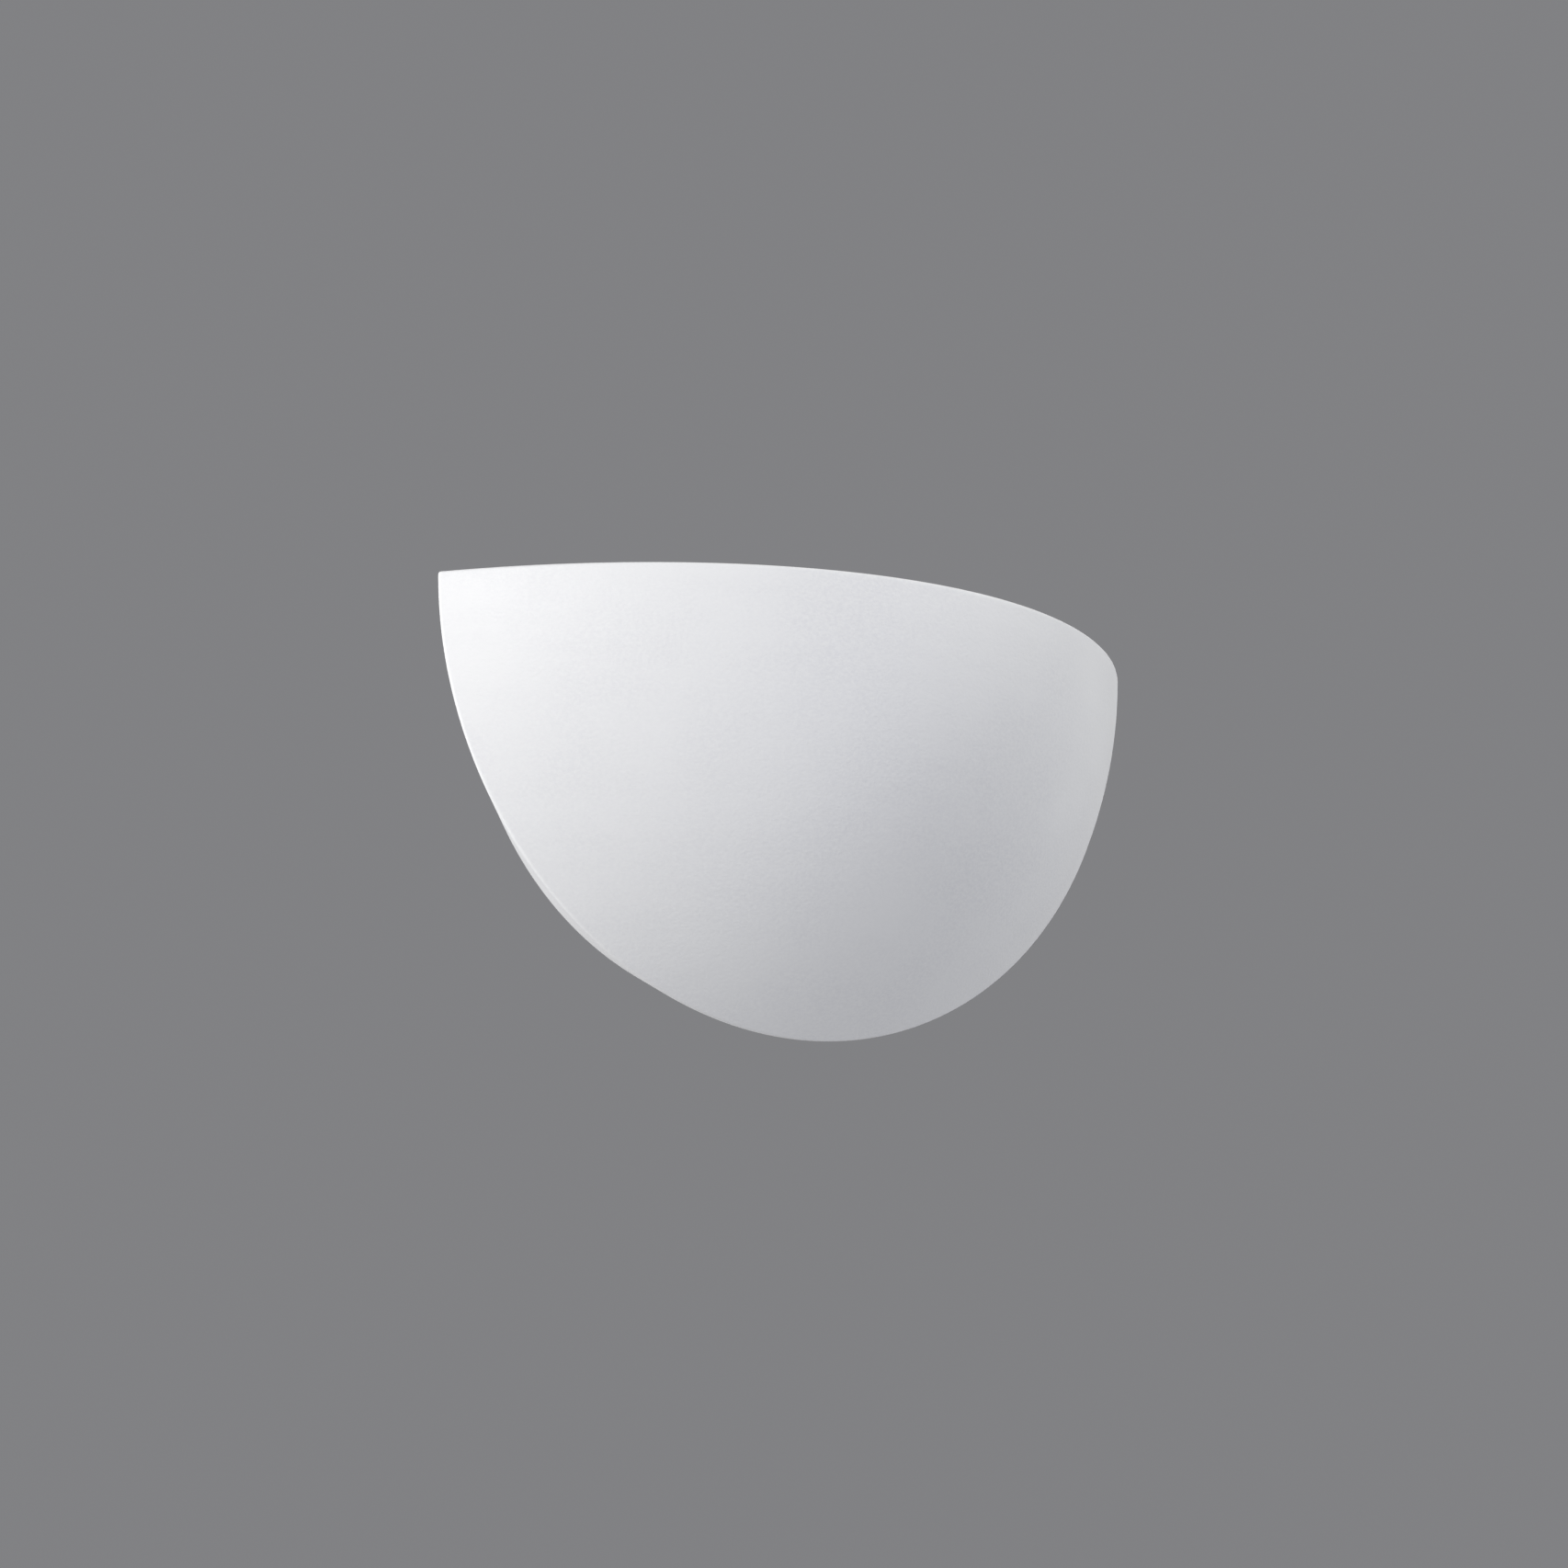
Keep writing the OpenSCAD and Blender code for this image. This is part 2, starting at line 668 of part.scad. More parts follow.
module terminal_block() {
  block_w = 2 * pole_gap + barrel_d;
  color("whitesmoke")
  translate([block_x, -plate_t, 0])
  difference() {
    union() {
      translate([-block_w / 2, -block_base, -block_l / 2]) cube([block_w, block_base, block_l]);
      for (p = poles) translate([p * pole_gap, 0, 0]) {
        translate([-barrel_d / 2, -tube_y, -block_l / 2]) cube([barrel_d, tube_y, block_l]);
        translate([0, -tube_y, -block_l / 2]) cylinder(d = barrel_d, h = block_l);
        for (end = sides) translate([0, 0, end * well_z])
          bar_y(0, block_h, well_d + 2.4);
      }
    }
    for (p = poles) translate([p * pole_gap, 0, 0]) {
      translate([0, -tube_y, -tube_l / 2]) cylinder(d = tube_d + 2 * fit_gap, h = tube_l);
      translate([0, -tube_y, -block_l]) cylinder(d = lead_d + 2 * fit_gap + 0.8, h = 2 * block_l);
      for (end = sides) translate([0, 0, end * well_z]) bar_y(tube_y, block_h, well_d);
    }
    for (side = sides) translate([side * pole_gap / 2, 0, 0]) {
      bar_y(-over, big, small_d + 2 * hole_gap);
      bar_y(block_base, big, block_head_d + 2 * hole_gap);
    }
  }
}

module terminal_tubes() {
  color("gold")
  for (p = poles) translate([block_x + p * pole_gap, -plate_t - tube_y, 0])
  difference() {
    translate([0, 0, -tube_l / 2]) cylinder(d = tube_d, h = tube_l);
    translate([0, 0, -tube_l]) cylinder(d = tube_bore, h = 2 * tube_l);
    for (end = sides) translate([0, 0, end * well_z])
      bar_y(0, tube_d, terminal_screw_d + 2 * thread_gap);
  }
}

module terminal_screws() {
  head_seat = tube_d / 2 + 1.2;
  color("silver")
  for (p = poles, end = sides)
    translate([block_x + p * pole_gap, -plate_t - tube_y - head_seat, end * well_z])
    rotate([90, 0, 0]) slot_screw(terminal_screw_d, head_seat - 0.4, terminal_head_d, small_head_h);
}

module block_screws() {
  color("silver")
  for (side = sides) translate([block_x + side * pole_gap / 2, -plate_t - block_base, 0])
    rotate([90, 0, 0]) slot_screw(small_d, plate_t + block_base - fit_gap, block_head_d, small_head_h);
}

// A smooth curve through the points of a route, with a few steps between neighbours
function route_point(p, i) = p[max(0, min(len(p) - 1, i))];
function spline(a, b, c, d, t) =
  0.5 * (2 * b + (c - a) * t + (2 * a - 5 * b + 4 * c - d) * t * t + (3 * b - a - 3 * c + d) * t * t * t);
function smooth_route(p, steps) = concat(
  [for (i = [0 : len(p) - 2], k = [0 : steps - 1])
    spline(route_point(p, i - 1), p[i], p[i + 1], route_point(p, i + 2), k / steps)],
  [p[len(p) - 1]]
);
function heading(p, i) =
  let (d = route_point(p, i + 1) - route_point(p, i - 1)) d / norm(d);

// A round lead that follows a route, as rings joined into one closed solid
module lead(route) {
  ring_n = 10;
  lean = [0.3, 0.2, 1];
  path = smooth_route(route, 4);
  rings = [for (i = [0 : len(path) - 1])
    let (h = heading(path, i), u = cross(h, lean) / norm(cross(h, lean)), v = cross(h, u))
    for (k = [0 : ring_n - 1])
      path[i] + lead_d / 2 * (cos(k * 360 / ring_n) * u + sin(k * 360 / ring_n) * v)];
  last = (len(path) - 1) * ring_n;
  faces = concat(
    [for (k = [1 : ring_n - 2]) [0, k, k + 1]],
    [for (k = [1 : ring_n - 2]) [last, last + k + 1, last + k]],
    [for (i = [0 : len(path) - 2], k = [0 : ring_n - 1])
      [i * ring_n + k, (i + 1) * ring_n + k, i * ring_n + (k + 1) % ring_n]],
    [for (i = [0 : len(path) - 2], k = [0 : ring_n - 1])
      [(i + 1) * ring_n + k, (i + 1) * ring_n + (k + 1) % ring_n, i * ring_n + (k + 1) % ring_n]]
  );
  polyhedron(points = rings, faces = faces, convexity = 6);
}

// A lead from the foot of a terminal to a hole in the back of the lampholder
module holder_lead(pole, side, bow) {
  start = [block_x + pole * pole_gap, -plate_t - tube_y, -tube_l / 2];
  goal = [side * lead_hole_x, tail_y + fit_gap / 2, holder_z + floor_t + lead_hole_z];
  middle = [(start[0] + goal[0]) / 2, start[1], (start[2] + goal[2]) / 2];
  door = [goal[0], -lamp_y + foot_d / 2, goal[2]];
  lead([
    start,
    start + lead_d * [0, 0, -2.7],
    start + lead_d * [-1.2, -0.4, -6.2],
    middle + lead_d * [bow, -2.3, -bow],
    door + lead_d * [2.3, 5, 1.9],
    door + lead_d * [0.2, 2.3, 0.2],
    door + lead_d * [0, 0.4, 0],
    goal
  ]);
}

module live_lead() { color("saddlebrown") holder_lead(1, 1, 1.5); }
module neutral_lead() { color("royalblue") holder_lead(0, -1, -0.8); }

module earth_lead() {
  start = [block_x - pole_gap, -plate_t - tube_y, -tube_l / 2];
  goal = [-earth_x + earth_ring_d / 2 + earth_barrel_l, earth_barrel_y, 0];
  middle = [0, start[1], start[2]];
  color("limegreen")
  lead([
    start,
    start + lead_d * [0, 0, -2.3],
    start + lead_d * [-1.5, -0.4, -4.2],
    middle + lead_d * [3, -1.2, -4.6],
    middle + lead_d * [-3, -0.8, -3.8],
    goal + lead_d * [3, -1, -1.3],
    goal + lead_d * [1, 0, 0],
    goal
  ]);
}

module earth_terminal() {
  barrel_x = -earth_x + earth_ring_d / 2;
  color("silver") {
    from_wall(plate_t + earth_washer_t, earth_ring_t) difference() {
      union() {
        translate([-earth_x, 0]) circle(d = earth_ring_d);
        translate([-earth_x, -earth_barrel_d / 2])
          square([earth_ring_d / 2 + 1.5, earth_barrel_d]);
      }
      translate([-earth_x, 0]) circle(d = machine_d + 2 * hole_gap);
    }
    translate([0, earth_barrel_y, 0]) difference() {
      bar_x(barrel_x, earth_barrel_l, earth_barrel_d);
      bar_x(barrel_x + 1.5, earth_barrel_l, lead_d + 2 * fit_gap);
    }
  }
}

module earth_washer() {
  teeth = 12;
  color("silver")
  from_wall(plate_t, earth_washer_t) translate([-earth_x, 0]) difference() {
    circle(d = earth_ring_d);
    circle(d = machine_d + 2 * hole_gap);
    for (i = [0 : teeth - 1]) rotate(i * 360 / teeth)
      translate([earth_ring_d / 2, 0]) circle(d = 1, $fn = 16);
  }
}

module earth_screw() {
  color("gold")
  translate([-earth_x, -earth_stack, 0]) rotate([90, 0, 0])
    slot_screw(machine_d, earth_stack - fit_gap, machine_head_d, machine_head_h);
}

shade_shell();
back_dots();
left_washer();
left_thumbscrew();
right_washer();
right_thumbscrew();
wall_plate();
ear_nuts();
cable_grommet();
lamp_bracket();
bracket_screws();
holder_body();
holder_sleeve();
holder_contact();
holder_screws();
bulb_globe();
bulb_collar();
bulb_cap();
bulb_insulator();
bulb_tip();
terminal_block();
terminal_tubes();
terminal_screws();
block_screws();
live_lead();
neutral_lead();
earth_lead();
earth_terminal();
earth_washer();
earth_screw();
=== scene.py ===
import json
import math

import bpy
import bmesh
import numpy as np
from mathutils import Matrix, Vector


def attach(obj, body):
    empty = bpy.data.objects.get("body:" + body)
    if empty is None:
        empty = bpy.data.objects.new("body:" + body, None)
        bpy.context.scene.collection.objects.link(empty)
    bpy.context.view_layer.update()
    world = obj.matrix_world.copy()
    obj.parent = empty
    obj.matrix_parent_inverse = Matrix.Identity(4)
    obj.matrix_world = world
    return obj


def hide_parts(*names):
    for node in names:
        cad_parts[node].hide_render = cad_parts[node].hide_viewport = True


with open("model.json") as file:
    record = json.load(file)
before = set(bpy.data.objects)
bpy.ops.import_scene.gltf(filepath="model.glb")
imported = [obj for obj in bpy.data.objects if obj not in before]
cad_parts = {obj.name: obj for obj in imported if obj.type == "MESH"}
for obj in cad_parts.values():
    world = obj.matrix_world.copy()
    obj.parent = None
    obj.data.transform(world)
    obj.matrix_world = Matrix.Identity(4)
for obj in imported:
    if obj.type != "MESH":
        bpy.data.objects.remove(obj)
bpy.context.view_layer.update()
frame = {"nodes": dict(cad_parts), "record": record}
MM = 0.001               # a millimetre, in metres

# ---------------------------------------------------------------- sizes of the part, in millimetres

# Shade
HALF = 152.5             # half of the width across the crease
DROP = 145.0             # from the rim down to the lowest point of the crease
DOME = 94.0              # depth of the dome, in front of the crease
CENTRE = 168.0           # from the crease back to the centre of the dome's curve
RETURN = 37.0            # from the wall to the crease
SIDE_TAPER = 40.5        # how far each side draws in from the crease to the back edge
FOOT_TAPER = 17.0        # how far the bottom rises from the crease to the back edge
WALL = 6.0               # thickness of the ceramic
RIM = 50.0               # height of the rim above the origin
DOT = 1.0                # room for the soft dots between the back edge and the wall
TAPER_L = RETURN - DOT   # depth of the taper, behind the crease

# Side fixing
SCREW_Y = 15.0           # distance of the thumbscrews from the wall
SEAT_X = 108.117         # distance of each washer's seat from the middle
SEAT_T = 8.0             # thickness of the ceramic behind the seat
POCKET = 7.5             # radius of the pocket round a thumbscrew
POCKET_WALL = 4.0        # ceramic left round the pocket
SLOT = 2.3               # half width of the slot for a thumbscrew's shank
SHANK = 2.0              # radius of a thumbscrew's thread
SHANK_L = 15.2           # length of its shank
THREAD_PITCH = 0.7       # pitch of its thread
THREAD_DEPTH = 0.34      # depth of its thread
HEAD = 5.5               # radius of its head
HEAD_H = 6.0             # length of its head
HEAD_X = 109.317         # distance of the head's inner face from the middle
GROOVES = 20             # number of grooves round the head
GROOVE = 0.32            # depth of a groove

# Wall plate and grommet
PLATE = 2.0              # thickness of the plate
DISH_UP = 2.5            # how far the dish stands forward
GROMMET_BORE = 4.0       # radius of the bore
GROMMET_HOLE = 8.0       # radius of the hole in the plate
GROMMET_LIP = 10.5       # radius of the lips
BACK_LIP = 1.5           # thickness of the lip behind the plate
FRONT_LIP = 2.0          # thickness of the lip in front of it

# Lamp
LAMP_Y = 50.0            # distance of the lamp's axis from the wall
BULB_Z = -21.607         # height at which the collar meets the cap
GLOBE = 22.5             # radius of the globe
GLOBE_Z = 33.5           # height of the globe's centre above the cap
COLLAR_H = 21.0          # height of the collar
COLLAR = 8.5             # radius of the collar where it meets the cap
CAP = 6.95               # radius of the cap's thread
CAP_L = 18.0             # length of the cap
CAP_PITCH = 2.82         # pitch of the cap's thread
CAP_DEPTH = 0.55         # depth of the cap's thread
INSULATOR_H = 3.4        # height of the insulator under the cap
TIP = 2.5                # radius of the contact tip
TIP_H = 1.1              # height of the contact tip

# Wiring
BLOCK_X = 38.0           # distance of the terminal block's middle from the origin
POLE_GAP = 10.5          # distance between neighbouring terminals
TUBE_Y = 7.0             # distance of the brass tubes from the plate
TUBE_L = 14.0            # length of the brass tubes
LEAD = 2.6               # diameter of the leads
FOOT = 16.0              # radius of the lampholder's foot
LEAD_END_X = 3.0         # where the leads end in the foot: to each side of its middle,
LEAD_END_Y = -45.35      # in front of the wall,
LEAD_END_Z = -51.407     # and below the origin
EARTH_X = 40.0           # distance of the earth screw from the origin
EARTH_REACH = 12.25      # from the earth screw to the end of the earth lead
EARTH_Y = -4.8           # where the earth lead ends, in front of the wall


# ---------------------------------------------------------------- materials

class Paint:
    """A material with a Principled shader, and short names for the nodes that feed it."""

    def __init__(self, name, color, roughness, **sockets):
        self.mat = bpy.data.materials.new(name)
        self.mat.use_nodes = True
        self.tree = self.mat.node_tree
        self.shader = self.tree.nodes["Principled BSDF"]
        self.put("Base Color", (*color, 1))
        self.put("Roughness", roughness)
        for key, value in sockets.items():
            self.put(key.replace("_", " "), value)
        self.space = self.node("ShaderNodeTexCoord").outputs["Object"]
        self.normal = None

    def node(self, kind, **props):
        """A new shader node with some of its settings."""
        n = self.tree.nodes.new(kind)
        for key, value in props.items():
            setattr(n, key, value)
        return n

    def link(self, a, b):
        """Joins an output to an input."""
        self.tree.links.new(a, b)

    def put(self, socket, value):
        """Sets a socket of the shader to one value."""
        self.shader.inputs[socket].default_value = value

    def feed(self, socket, source):
        """Joins an output to a socket of the shader."""
        self.link(source, self.shader.inputs[socket])

    def mapped(self, scale):
        """The object's own coordinates, scaled along each axis."""
        n = self.node("ShaderNodeMapping")
        n.inputs["Scale"].default_value = scale
        self.link(self.space, n.inputs["Vector"])
        return n.outputs["Vector"]

    def noise(self, scale, detail=3, rough=0.5, stretch=(1, 1, 1)):
        """Cloudy noise, 0 to 1."""
        n = self.node("ShaderNodeTexNoise")
        n.inputs["Scale"].default_value = scale
        n.inputs["Detail"].default_value = detail
        n.inputs["Roughness"].default_value = rough
        self.link(self.mapped(stretch), n.inputs["Vector"])
        return n.outputs["Fac"]

    def cells(self, scale, output="Distance"):
        """A pattern of cells: the distance from the middle of each, or a colour for each."""
        n = self.node("ShaderNodeTexVoronoi")
        n.inputs["Scale"].default_value = scale
        self.link(self.space, n.inputs["Vector"])
        return n.outputs[output]

    def span(self, source, low, high, to_low=0.0, to_high=1.0):
        """Carries one range of values to another, and holds it at the ends."""
        n = self.node("ShaderNodeMapRange")
        for key, value in zip(("From Min", "From Max", "To Min", "To Max"), (low, high, to_low, to_high)):
            n.inputs[key].default_value = value
        self.link(source, n.inputs["Value"])
        return n.outputs["Result"]

    def math(self, kind, a, b):
        """The result of an operation on two outputs or numbers."""
        n = self.node("ShaderNodeMath", operation=kind)
        for i, x in enumerate((a, b)):
            if isinstance(x, (int, float)):
                n.inputs[i].default_value = x
            else:
                self.link(x, n.inputs[i])
        return n.outputs["Value"]

    def blend(self, factor, a, b):
        """A mix of two colours, a where the factor is 0 and b where it is 1."""
        n = self.node("ShaderNodeMix", data_type="RGBA")
        self.link(factor, n.inputs["Factor"])
        for key, x in (("A", a), ("B", b)):
            socket = [s for s in n.inputs if s.name == key and s.type == "RGBA"][0]
            if isinstance(x, tuple):
                socket.default_value = (*x, 1)
            else:
                self.link(x, socket)
        return [s for s in n.outputs if s.type == "RGBA"][0]

    def bump(self, height, strength, distance):
        """Adds a layer of relief to the layers before it."""
        n = self.node("ShaderNodeBump")
        n.inputs["Strength"].default_value = strength
        n.inputs["Distance"].default_value = distance
        self.link(height, n.inputs["Height"])
        if self.normal:
            self.link(self.normal, n.inputs["Normal"])
        self.normal = n.outputs["Normal"]
        self.feed("Normal", self.normal)


def bisque():
    """White unglazed ceramic: clouds, level streaks, grain, rare specks and three layers of relief."""
    p = Paint("shade_bisque", (0.82, 0.82, 0.83), 0.55)
    cloud = p.noise(14, 4, 0.6)
    streak = p.noise(9, 3, 0.55, stretch=(1, 1, 14))
    body = p.blend(p.span(cloud, 0.35, 0.65), (0.79, 0.79, 0.805), (0.845, 0.845, 0.85))
    body = p.blend(p.span(streak, 0.45, 0.75, 0, 0.25), body, (0.77, 0.77, 0.785))
    grain = p.noise(700, 3, 0.7, stretch=(1, 1, 1.4))
    body = p.blend(p.span(grain, 0.38, 0.62), body, (0.84, 0.84, 0.845))
    speck = p.span(p.cells(420), 0.0, 0.045, 0.35, 0.0)
    rare = p.span(p.noise(160, 2), 0.62, 0.66)
    body = p.blend(p.math("MULTIPLY", speck, rare), body, (0.50, 0.50, 0.50))
    p.feed("Base Color", body)
    p.feed("Roughness", p.span(p.noise(30, 5, 0.6), 0.3, 0.7, 0.48, 0.62))
    p.bump(p.noise(9, 2, 0.5, stretch=(1, 1, 9)), 0.25, 0.0006)
    p.bump(p.noise(620, 3, 0.6, stretch=(1, 1, 1.4)), 0.45, 0.0003)
    p.bump(p.noise(2600, 2, 0.6), 0.20, 0.00004)
    return p.mat


def powder_coat():
    """White powder coating with a fine orange-peel relief."""
    p = Paint("plate_powder_coat", (0.80, 0.80, 0.79), 0.42)
    p.feed("Base Color", p.blend(p.span(p.noise(40, 4), 0.35, 0.7), (0.81, 0.81, 0.80), (0.76, 0.76, 0.75)))
    p.feed("Roughness", p.span(p.noise(90, 4), 0.3, 0.7, 0.34, 0.5))
    p.bump(p.noise(900, 3, 0.6), 0.35, 0.00008)
    return p.mat


def metal(name, color, tint, low, high):
    """A metal in two tints, with its roughness between two values."""
    p = Paint(name, color, (low + high) / 2, Metallic=1.0)
    p.feed("Base Color", p.blend(p.span(p.noise(140, 4, 0.6), 0.35, 0.7), color, tint))
    p.feed("Roughness", p.span(p.noise(420, 5, 0.65), 0.3, 0.7, low, high))
    p.bump(p.noise(900, 3, 0.6), 0.15, 0.00003)
    return p.mat


def zinc():
    """Zinc plating with a faint spangle."""
    p = Paint("zinc_plating", (0.70, 0.71, 0.72), 0.35, Metallic=1.0)
    spangle = p.cells(700, output="Color")
    p.feed("Base Color", p.blend(p.span(spangle, 0.2, 0.9), (0.62, 0.64, 0.66), (0.76, 0.76, 0.74)))
    p.feed("Roughness", p.span(p.noise(500, 4, 0.6), 0.3, 0.7, 0.24, 0.42))
    p.bump(p.noise(1500, 2, 0.6), 0.15, 0.00003)
    return p.mat


def rubber(name, color, pale):
    """Dull rubber, with paler patches."""
    p = Paint(name, color, 0.75)
    p.feed("Base Color", p.blend(p.span(p.noise(200, 4), 0.4, 0.75), color, pale))
    p.feed("Roughness", p.span(p.noise(600, 3), 0.3, 0.7, 0.62, 0.85))
    p.bump(p.noise(1800, 3, 0.6), 0.3, 0.00006)
    return p.mat


def glaze():
    """Glossy cream porcelain with small brown specks."""
    p = Paint("porcelain_glaze", (0.87, 0.86, 0.82), 0.12, Coat_Weight=0.6, Coat_Roughness=0.05)
    body = p.blend(p.span(p.noise(60, 4), 0.35, 0.7), (0.88, 0.87, 0.83), (0.83, 0.82, 0.77))
    p.feed("Base Color", p.blend(p.span(p.cells(900), 0.0, 0.05, 0.3, 0.0), body, (0.35, 0.30, 0.24)))
    p.feed("Roughness", p.span(p.noise(120, 3), 0.3, 0.7, 0.08, 0.2))
    p.bump(p.noise(160, 2), 0.2, 0.0002)
    return p.mat


def plastic(name, color, shade, roughness, **sockets):
    """A plastic in two close colours, with its roughness near one value."""
    p = Paint(name, color, roughness, **sockets)
    p.feed("Base Color", p.blend(p.span(p.noise(150, 4), 0.35, 0.7), color, shade))
    p.feed("Roughness", p.span(p.noise(500, 3), 0.3, 0.7, roughness - 0.07, roughness + 0.08))
    p.bump(p.noise(1400, 3, 0.6), 0.12, 0.00005)
    return p.mat


def lit_globe():
    """Frosted glass that glows, with painted shade: the glow is deeper and dimmer in colour near the
    collar, which gives the globe its shape.
    """
    p = Paint("lit_frosted_globe_painted_shade", (0.42, 0.38, 0.32), 0.35, Emission_Strength=0.85)
    split = p.node("ShaderNodeSeparateXYZ")
    p.link(p.space, split.inputs["Vector"])
    height = p.span(split.outputs["Z"], (BULB_Z + COLLAR_H) * MM, (BULB_Z + GLOBE_Z + GLOBE) * MM)
    # Painted shade: the glow runs from a deep orange at the collar to a pale warm white at the top
    glow = p.blend(height, (1.0, 0.62, 0.30), (1.0, 0.88, 0.66))
    p.feed("Emission Color", glow)
    p.feed("Base Color", p.blend(p.span(p.noise(700, 4), 0.3, 0.7), (0.44, 0.40, 0.34), (0.38, 0.35, 0.29)))
    p.feed("Roughness", p.span(p.noise(900, 3), 0.3, 0.7, 0.3, 0.45))
    p.bump(p.noise(1600, 3), 0.15, 0.00004)
    return p.mat


def striped_lead():
    """Green insulation with two yellow stripes along the lead, laid out by the lead's own map."""
    p = Paint("earth_insulation", (0.16, 0.42, 0.07), 0.45)
    uv = p.node("ShaderNodeUVMap", uv_map="along")
    split = p.node("ShaderNodeSeparateXYZ")
    p.link(uv.outputs["UV"], split.inputs["Vector"])
    band = p.math("PINGPONG", p.math("ADD", split.outputs["X"], 0.02), 0.25)
    stripe = p.span(band, 0.118, 0.132)
    p.feed("Base Color", p.blend(stripe, (0.15, 0.40, 0.06), (0.78, 0.66, 0.05)))
    p.feed("Roughness", p.span(p.noise(500, 3), 0.3, 0.7, 0.36, 0.52))
    p.bump(p.noise(1500, 3), 0.1, 0.00005)
    return p.mat


PAINTS = {
    "shade_ceramic": bisque(),
    "soft_dots": rubber("soft_clear_dots", (0.62, 0.62, 0.60), (0.72, 0.72, 0.70)),
    "zinc_steel": zinc(),
    "thumbscrew_brass": metal("satin_brass", (0.80, 0.62, 0.34), (0.70, 0.52, 0.27), 0.22, 0.38),
    "plate_steel": powder_coat(),
    "grommet_rubber": rubber("black_rubber", (0.018, 0.018, 0.018), (0.04, 0.04, 0.042)),
    "porcelain": glaze(),
    "nickel": metal("nickel_plating", (0.74, 0.72, 0.68), (0.64, 0.62, 0.58), 0.14, 0.28),
    "contact_brass": metal("bright_brass", (0.82, 0.62, 0.26), (0.70, 0.50, 0.20), 0.18, 0.34),
    "frosted_globe": lit_globe(),
    "bulb_white": plastic("bulb_collar_white", (0.86, 0.86, 0.84), (0.80, 0.80, 0.78), 0.38),
    "black_glass": plastic("black_insulator", (0.012, 0.012, 0.013), (0.03, 0.03, 0.032), 0.15),
    "block_nylon": plastic("natural_nylon", (0.80, 0.79, 0.74), (0.72, 0.71, 0.65), 0.42,
                           Subsurface_Weight=0.15, Subsurface_Radius=(0.002, 0.0018, 0.0014)),
    "lead_brown": plastic("brown_insulation", (0.16, 0.065, 0.025), (0.12, 0.045, 0.018), 0.42),
    "lead_blue": plastic("blue_insulation", (0.035, 0.14, 0.46), (0.025, 0.10, 0.36), 0.42),
    "lead_green": striped_lead(),
}

slot_of = {row["node"]: row["material_slot"] for row in frame["record"]["subparts"]}
body_of = {name: body for body, names in frame["record"]["behaviour"]["bodies"].items() for name in names}
for name, node in frame["nodes"].items():
    node.data.materials.clear()
    node.data.materials.append(PAINTS[slot_of[name]])


# ---------------------------------------------------------------- mesh helpers

TOUCHING = 1e-7      # points that lie nearer than this are one, in metres
FLAT_WEIGHT = 60     # above 50, large faces rule the shading of their edges more than small ones


def mesh_object(name, points, faces):
    """A new object from points in millimetres."""
    data = bpy.data.meshes.new(name)
    data.from_pydata([tuple(MM * c for c in p) for p in points], [], faces)
    data.validate()
    obj = bpy.data.objects.new(name, data)
    bpy.context.scene.collection.objects.link(obj)
    return obj


def apply_modifiers(obj):
    """Makes the result of a piece's modifiers its mesh."""
    bpy.context.view_layer.update()
    graph = bpy.context.evaluated_depsgraph_get()
    data = bpy.data.meshes.new_from_object(obj.evaluated_get(graph))
    old = obj.data
    obj.modifiers.clear()
    obj.data = data
    bpy.data.meshes.remove(old)


def combine(obj, other, kind):
    """Joins, cuts or trims a piece with another object, which goes."""
    m = obj.modifiers.new("cut", "BOOLEAN")
    m.operation = kind
    m.solver = "EXACT"
    m.object = other
    apply_modifiers(obj)
    bpy.data.objects.remove(other)


def join(obj, other):
    """Adds another object's faces to a piece as they are."""
    bm = bmesh.new()
    bm.from_mesh(obj.data)
    bm.from_mesh(other.data)
    bm.to_mesh(obj.data)
    bm.free()
    bpy.data.objects.remove(other)


def tidy(obj):
    """Welds points that lie together, and turns all faces outwards."""
    bm = bmesh.new()
    bm.from_mesh(obj.data)
    bmesh.ops.remove_doubles(bm, verts=bm.verts, dist=TOUCHING)
    bmesh.ops.recalc_face_normals(bm, faces=bm.faces)
    bm.to_mesh(obj.data)
    bm.free()


def smooth(obj, degrees=40, weighted=True):
    """Smooth shading with sharp edges kept. Weighted normals leave flat faces looking flat."""
    obj.data.shade_smooth()
    obj.data.set_sharp_from_angle(angle=math.radians(degrees))
    if weighted:
        m = obj.modifiers.new("normals", "WEIGHTED_NORMAL")
        m.keep_sharp = True
        m.weight = FLAT_WEIGHT
        apply_modifiers(obj)


def place(obj, body, slot, node):
    """Finishes a piece: its material, the body it rides on, and the node it stands for."""
    obj.data.materials.clear()
    obj.data.materials.append(PAINTS[slot])
    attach(obj, body)
    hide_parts(node)


def tube_faces(rings, n):
    """Faces between rings of n points each, one ring after the other."""
    return [[i * n + k, i * n + (k + 1) % n, (i + 1) * n + (k + 1) % n, (i + 1) * n + k]
            for i in range(rings - 1) for k in range(n)]


def cap_faces(rings, n):
    """The two faces that close such a tube at its ends."""
    last = (rings - 1) * n
    return [list(range(n))[::-1], list(range(last, last + n))]


def bezier(a, b, c, steps):
    """Points on a curve from a to c, which leans towards b."""
    a, b, c = (np.array(p, float) for p in (a, b, c))
    return [(1 - t) ** 2 * a + 2 * t * (1 - t) * b + t * t * c for t in np.linspace(0, 1, steps)]


# ---------------------------------------------------------------- shade

